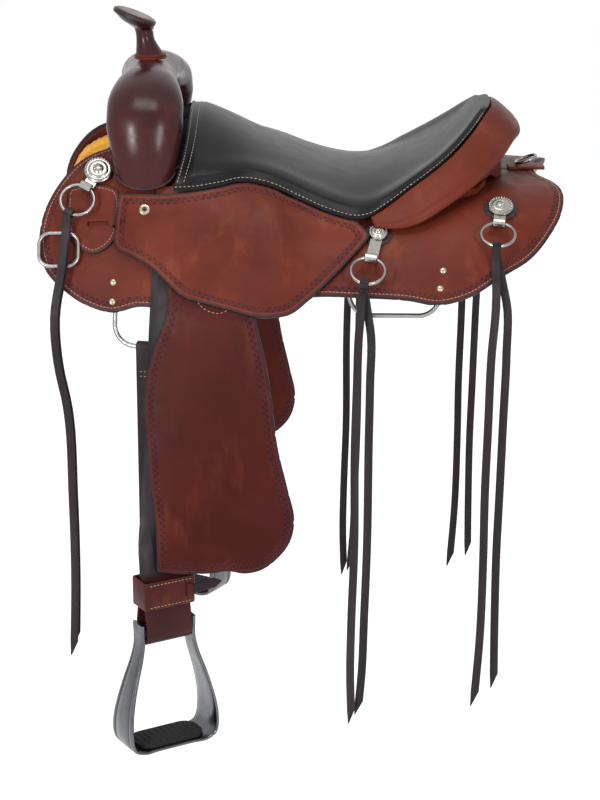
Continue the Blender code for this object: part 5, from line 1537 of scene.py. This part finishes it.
# Stirrup leathers and stirrups

STRAP_LIFT = STRAP_CLEAR + STRAP_THICK / 2
BACK_LIFT = STRAP_LIFT - STRAP_THICK - LAYER_GAP
TWIST_Z = (-0.300, -0.371)
TWISTED_Z = (-0.380, -0.392, -0.404, -0.416, -0.428, -0.438, BOLT_Z)
BOLT_RADIUS = 0.0110
BOLT_LOOP = (BOLT_RADIUS + 2 * TOUCH) / math.cos(math.radians(15)) + STRAP_THICK / 2
STRAP_FOLDED = STRAP_THICK / 2 + LAYER_GAP
# Across the strap: share of the width, share of the thickness
STRAP_ROWS = ((-0.5, 0.45), (-0.47, 1), (-0.3, 1), (-0.1, 1), (0.1, 1), (0.3, 1), (0.47, 1), (0.5, 0.45))
HOBBLE_HEIGHT = 0.036
HOBBLE_THICK = 0.0030
HOBBLE_SLACK = 0.0005
HOBBLE_CORNER = 0.0029
HOBBLE_SECTION = (
    (-0.5, 0.94), (-0.1, 1.0), (0.3, 1.0), (0.5, 0.94), (0.5, -0.94), (0.3, -1.0), (-0.1, -1.0),
    (-0.5, -0.94),
)
# Along the strap's width, away from its face, up
HOBBLE_TAIL = (
    (0.022, 0.0, 0.0), (0.030, 0.0, 0.0), (0.038, 0.0006, 0.001), (0.052, 0.0040, 0.004),
    (0.066, 0.0090, 0.007),
)
HOBBLE_KEEPER = ((-0.0038, 0), (-0.0038, 1), (0.0038, 1), (0.0038, 0))
HOBBLE_KEEPER_AT = 0.0255
HOBBLE_KEEPER_RIM = 0.0006
HOBBLE_SEAM = (0.0048, 0.0034, 0.0009)
HOBBLE_TAIL_SIZE = (0.0130, 0.0020, 0.009)


def stirrup_frame(side):
    _, y, _ = on_hanging(STIRRUP_X, hang_distance(STIRRUP_X, HOBBLE_TOP, 0), STRAP_LIFT)
    twist = math.radians(STIRRUP_TURN)
    along = Vector((math.cos(twist), -side * math.sin(twist), 0))
    out = Vector((math.sin(twist), side * math.cos(twist), 0))
    return Vector((STIRRUP_X, side * y, BOLT_Z)), along, out


def strap_ring(place):
    """Points round the strap, placed by share of its width and distance off its middle."""
    half = STRAP_THICK / 2
    outer, inner = ([place(share, off * thick) for share, thick in STRAP_ROWS] for off in (half, -half))
    return outer + inner[::-1]


def make_stirrup_leather(side_name, side):
    """One strap: down behind the fender, round the stirrup's bolt and back up."""
    centre, along, out = stirrup_frame(side)

    def hung(z, lift, outside):
        def place(share, off):
            x = strap_middle_x(z) + share * STRAP_WIDTH
            _, y, height = on_hanging(x, hang_distance(x, z, lift), lift + outside * off)
            return Vector((x, side * y, height))

        return strap_ring(place)

    def placed(middle, width, outwards):
        return strap_ring(lambda share, off: middle + width * (share * STRAP_WIDTH) + outwards * off)

    def turned(z, share, direction):
        x = strap_middle_x(z)
        lift = STRAP_LIFT if direction > 0 else BACK_LIFT
        s = hang_distance(x, z, lift)
        front, rear = (Vector(on_hanging(x + dx, s, lift)) for dx in (-STRAP_WIDTH / 2, STRAP_WIDTH / 2))
        hanging = Vector((rear.x - front.x, side * (rear.y - front.y), 0)).normalized()
        apart = BOLT_LOOP + (STRAP_FOLDED - BOLT_LOOP) * eased((z - BOLT_Z) / (TWIST_Z[1] - BOLT_Z))
        middle = Vector(((front.x + rear.x) / 2, side * (front.y + rear.y) / 2, z))
        middle = middle.lerp(Vector((centre.x, centre.y, z)) + out * (direction * apart), share)
        width = hanging.lerp(along, share).normalized()
        return placed(middle, width, UP.cross(width) * side * direction)

    start, end = TWIST_Z
    steps = [(start + (end - start) * share, eased(share)) for share in np.linspace(0.125, 1.0, 8)]
    steps += [(z, 1.0) for z in TWISTED_Z]
    rings = [hung(start + 0.02, BACK_LIFT, -1), hung(start, BACK_LIFT, -1)]
    rings += [turned(z, share, -1) for z, share in steps]
    for degrees in range(-75, 76, 15):
        turn = math.radians(degrees)
        away = out * math.sin(turn) - UP * math.cos(turn)
        rings.append(placed(centre + away * BOLT_LOOP, along, away))
    rings += [turned(z, share, 1) for z, share in reversed(steps)]
    heights = [*np.linspace(start, -0.100, 12), *np.linspace(-0.090, 0.088, 24)]
    rings += [hung(z, STRAP_LIFT, 1) for z in heights]
    strap = shade(skin(f"stirrup_strap_{side_name}", rings), 50)
    dress(strap, f"fender_body_{side_name}", LOOPED, f"stirrup_leather_{side_name}", slot="strap_leather")


def make_hobble(side_name, side):
    """The strap round both lengths of the stirrup leather, with its tail and keeper."""
    centre, along, out = stirrup_frame(side)
    body = f"fender_body_{side_name}"
    wall = HOBBLE_SLACK + HOBBLE_THICK / 2
    half_a = STRAP_WIDTH / 2 + wall
    half_b = BOLT_LOOP + STRAP_THICK / 2 + wall
    half = HOBBLE_HEIGHT / 2
    start = Vector((centre.x, centre.y, HOBBLE_TOP - 0.004 - half))
    face = half_b + HOBBLE_THICK / 2

    def at(a, away, rise):
        """A point along the strap's width, away from its face and up."""
        return start + along * a + out * (face + away) + UP * rise

    rings = []
    outline = [Vector(p) for p in rounded_loop(half_a, half_b, HOBBLE_CORNER, 6)]
    for i, (a, b) in enumerate(outline):
        way = heading(outline, i, closed=True).normalized()
        outward = along * way.y - out * way.x
        point = start + along * a + out * b
        rings.append([point + outward * (u * HOBBLE_THICK) + UP * (v * half) for u, v in HOBBLE_SECTION])
    hobble = skin(f"hobble_band_{side_name}", rings, closed=True)
    dress(shade(hobble, 35), body, HOBBLE, f"hobble_strap_{side_name}", slot="fender_leather")
    path = smooth_path([at(a, 0.0009 + away, rise) for a, away, rise in HOBBLE_TAIL], 30)
    tail = thong(f"hobble_tail_{side_name}", [Vector(p) for p in path], UP, *HOBBLE_TAIL_SIZE)
    dress(tail, body, STRAP)
    band = []
    for up in (-1, 1):
        band.append([at(HOBBLE_KEEPER_AT + a, 0.0004 + 0.0026 * b, up * 0.0085) for a, b in HOBBLE_KEEPER])
    keeper = round_rim(skin(f"hobble_keeper_{side_name}", band), HOBBLE_KEEPER_RIM)
    dress(shade(keeper), body, HOBBLE)
    places = np.linspace(-half_a + 0.004, half_a - 0.004, 24)
    for up, place in ((-1, "low"), (1, "top")):
        points = [at(float(a), 0.0, up * (half - 0.0036)) for a in places]
        ways = [out] * len(points)
        dress(stitch_row(f"hobble_stitching_{place}_{side_name}", points, ways, *HOBBLE_SEAM), body, THREAD)


STIRRUP_TOP_WIDTH = 0.076
STIRRUP_TREAD_WIDTH = 0.125
STIRRUP_HEIGHT = 0.152
STIRRUP_TOP_DEPTH = 0.026
STIRRUP_TREAD_DEPTH = 0.057
STIRRUP_WALL = 0.0046
PAD_LENGTH = 0.092
PAD_DEPTH = 0.046
PAD_THICK = 0.0050
PAD_CORNER = 0.017
RIB_PITCH = 0.008
RIB_RADIUS = 0.0011
GROOVE_SHADE_RADIUS = 0.0007
# Share from the top's width to the tread's, height, share from the top's depth to the tread's
STIRRUP_LEG = (
    (0.0, 0.014, 0.0), (0.0, -0.016, 0.0), (0.16, -0.034, 0.10), (0.50, -0.060, 0.34),
    (0.78, -0.085, 0.58), (0.96, -0.108, 0.82), (1.0, -0.124, 0.96), (0.96, -0.136, 1.0),
    (0.80, -0.1455, 1.0),
)
# Across the casting: share of half its depth, share of half its wall
STIRRUP_SECTION = (
    (-1.0, 0.0), (-0.97, 0.6), (-0.90, 0.95), (-0.80, 1.0), (-0.70, 1.0), (-0.66, 0.78), (-0.62, 1.0),
    (-0.2, 1.12), (0.2, 1.12), (0.62, 1.0), (0.66, 0.78), (0.70, 1.0), (0.80, 1.0), (0.90, 0.95),
    (0.97, 0.6), (1.0, 0.0), (0.97, -0.6), (0.90, -0.95), (0.5, -1.0), (0.0, -1.0), (-0.5, -1.0),
    (-0.90, -0.95), (-0.97, -0.6),
)
SHADED_GROOVES = (5, 10)


def make_stirrup(side_name, side):
    centre, along, out = stirrup_frame(side)
    body = f"stirrup_body_{side_name}"
    top_half = (STIRRUP_TOP_WIDTH - STIRRUP_WALL) / 2
    wider = (STIRRUP_TREAD_WIDTH - STIRRUP_WALL) / 2 - top_half
    deeper = STIRRUP_TREAD_DEPTH - STIRRUP_TOP_DEPTH
    tread_z = STIRRUP_WALL / 2 - STIRRUP_HEIGHT
    half = [(top_half + wide * wider, z, STIRRUP_TOP_DEPTH + deep * deeper) for wide, z, deep in STIRRUP_LEG]
    half += [(u, tread_z, STIRRUP_TREAD_DEPTH) for u in (PAD_LENGTH / 2 + 0.0005, PAD_LENGTH / 4)]
    middle = [(0.0, tread_z, STIRRUP_TREAD_DEPTH)]
    sections = smooth_path([(-u, z, depth) for u, z, depth in half] + middle + half[::-1], 110)
    rings = []
    for i, (u, z, depth) in enumerate(sections):
        tangent = Vector(heading(sections, i)[:2]).normalized()
        through = (along * tangent.y - UP * tangent.x) * (STIRRUP_WALL / 2)
        across = out * (depth / 2)
        point = centre + along * u + UP * z
        rings.append([point + across * a + through * b for a, b in STIRRUP_SECTION])
    # Painted shade: thin dark wires laid in the casting's two notches darken its grooves.
    for number, index in enumerate(SHADED_GROOVES, 1):
        line = [ring[index] for ring in rings[4:-4]]
        groove = tube(f"stirrup_groove_shade_{number}_{side_name}", line, GROOVE_SHADE_RADIUS, out, closed=False, sides=6)
        dress(groove, body, INKED_AND_SHADE)
    casting = shade(skin(f"stirrup_casting_{side_name}", rings), 40)
    dress(casting, body, ALLOY, f"stirrup_{side_name}", slot="aluminium")
    pad_low = tread_z + STIRRUP_WALL / 2 + TOUCH
    outline = rounded_loop(PAD_LENGTH / 2, PAD_DEPTH / 2, PAD_CORNER)
    low = [centre + along * a + out * b + UP * pad_low for a, b in outline]
    middle = sum(low, Vector()) / len(low)
    rings = [low, [p + UP * (PAD_THICK - 0.0008) for p in low]]
    rings.append([p + (middle + UP * (p.z - middle.z) - p) * 0.03 + UP * (PAD_THICK - 0.0003) for p in low])
    pieces = [shade(skin(f"rubber_tread_{side_name}", rings), 40)]
    for step in range(-5, 6):
        a = RIB_PITCH * step
        reach = PAD_DEPTH / 2 - 0.004 - max(0.0, abs(a) - 0.030)
        at = centre + along * a + UP * (pad_low + PAD_THICK - 0.0004)
        ends = [at - out * reach, at + out * reach]
        pieces.append(tube(f"tread_rib_{step + 5}", ends, RIB_RADIUS, UP, closed=False, sides=8))
    pad = join(f"rubber_tread_{side_name}", pieces)
    dress(pad, body, RUBBER, f"tread_pad_{side_name}", slot="rubber")


JOCKEY_SCREW = (-0.189, 0.066)
SCREW_RADIUS = 0.0072
RIVET_RADIUS = 0.0042
SKIRT_RIVETS = ((-0.228, -0.021), (-0.229, -0.043), (0.173, 0.000), (0.169, -0.019))

make_seat_cover()
make_hand_holes()
make_seat_stitching()
make_cantle_roll()
make_swell()
make_horn()
make_crupper()
SIDE_PIECES = (
    make_fleece, make_skirt, make_jockey, make_keeper,
    make_fender, make_stirrup_leather, make_hobble, make_stirrup,
)
for side_name, side in SIDES:
    for make in SIDE_PIECES:
        make(side_name, side)
    for place in CONCHOS:
        hold = make_concho(place, side_name, side)
        if (side, place[0]) != (OFF, "front"):
            make_strings(place[0], side_name, side, hold)
    for place in RIG_DEES:
        make_rig_dee(place, side_name, side)
    make_breast_dee(side_name, side)
    lift = room_for_fender(JOCKEY_SCREW[0]) + JOCKEY_THICK
    stud(f"jockey_screw_{side_name}", *JOCKEY_SCREW, lift, SCREW_RADIUS, side, True)
    for number, place in enumerate(SKIRT_RIVETS, 1):
        stud(f"skirt_rivet_{number}_{side_name}", *place, 0.0, RIVET_RADIUS, side)
make_latigo("latigo_strap", "latigo_near", "latigo_near_body", NEAR, LATIGO_END_Z)
make_latigo("billet_strap", "off_billet", "off_billet_body", OFF, BILLET_END_Z)

# Finishes of the solids that show as they are

NODE_FINISHES = {
    "tree_cantle": PLAIN_RUSSET,
    "tree_bar": PLAIN_RUSSET,
    "tree_fork": RAWHIDE,
    "seat_foam": FOAM,
    "ground_seat": PLAIN_RUSSET,
    "cantle_back": PLAIN_RUSSET,
    "horn_core": NICKEL,
    "stirrup_bolt": POLISHED,
    "concho": SILVER,
}
for name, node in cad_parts.items():
    for start, finish in NODE_FINISHES.items():
        if name.startswith(start):
            node.data.materials.clear()
            node.data.materials.append(finish)

# Floor, light and camera view

FLOOR_Z = -1.15
FLOOR_GLOW = 0.80
FLOOR_SIZE = 12.0
FLOOR_WHITE = tint(236, 236, 238)
SKY = (0.86, 0.88, 0.92)
SKY_LIGHT = 0.42
WHITE = (1.0, 1.0, 1.0)
LAMP_AIM = (-0.15, -0.1, 0.0)


def seen_directly(tree):
    """1 for rays that show the surroundings as they are: to the camera, mirrored or let through."""
    path = add_node(tree, "LightPath")
    seen = path["Is Camera Ray"]
    for ray in ("Is Transmission Ray", "Is Glossy Ray"):
        seen = add_node(tree, "Math", (seen, path[ray]), operation="MAXIMUM")[0]
    return seen


def make_floor():
    bpy.ops.mesh.primitive_plane_add(size=FLOOR_SIZE, location=(0, 0, FLOOR_Z))
    floor = settle(bpy.context.object)
    floor.name = "studio_floor"
    f = Finish("studio floor", 0.95)
    feed(f.tree, f.shader.inputs["Emission Color"], WHITE)
    feed(f.tree, f.shader.inputs["Emission Strength"], f.calc("MULTIPLY", seen_directly(f.tree), FLOOR_GLOW))
    floor.data.materials.append(f.done(FLOOR_WHITE, 0.95, None, 0.1))


def make_world():
    world = bpy.data.worlds.new("studio")
    world.use_nodes = True
    tree = world.node_tree
    tree.nodes.clear()
    lit = add_node(tree, "Background", (SKY, SKY_LIGHT))[0]
    white = add_node(tree, "Background", (WHITE, 1.0))[0]
    mixed = add_node(tree, "MixShader", (seen_directly(tree), lit, white))[0]
    add_node(tree, "OutputWorld", (mixed,))
    bpy.context.scene.world = world


def lamp(name, at, aim, size, energy):
    bpy.ops.object.light_add(type="AREA", location=at)
    light = bpy.context.object
    light.name = name
    light.data.shape = "RECTANGLE"
    light.data.size, light.data.size_y = size
    light.data.energy = energy
    point_at(light, at, aim)


make_floor()
make_world()
lamp("left_strip", (-1.25, -2.25, 0.50), LAMP_AIM, (0.26, 0.70), 27)
lamp("right_strip", (0.95, -2.25, 0.48), LAMP_AIM, (0.20, 0.66), 16)
lamp("top_softbox", (-0.2, -0.9, 2.2), (0, 0, 0), (1.4, 0.7), 17)
bpy.context.scene.view_settings.view_transform = "Standard"
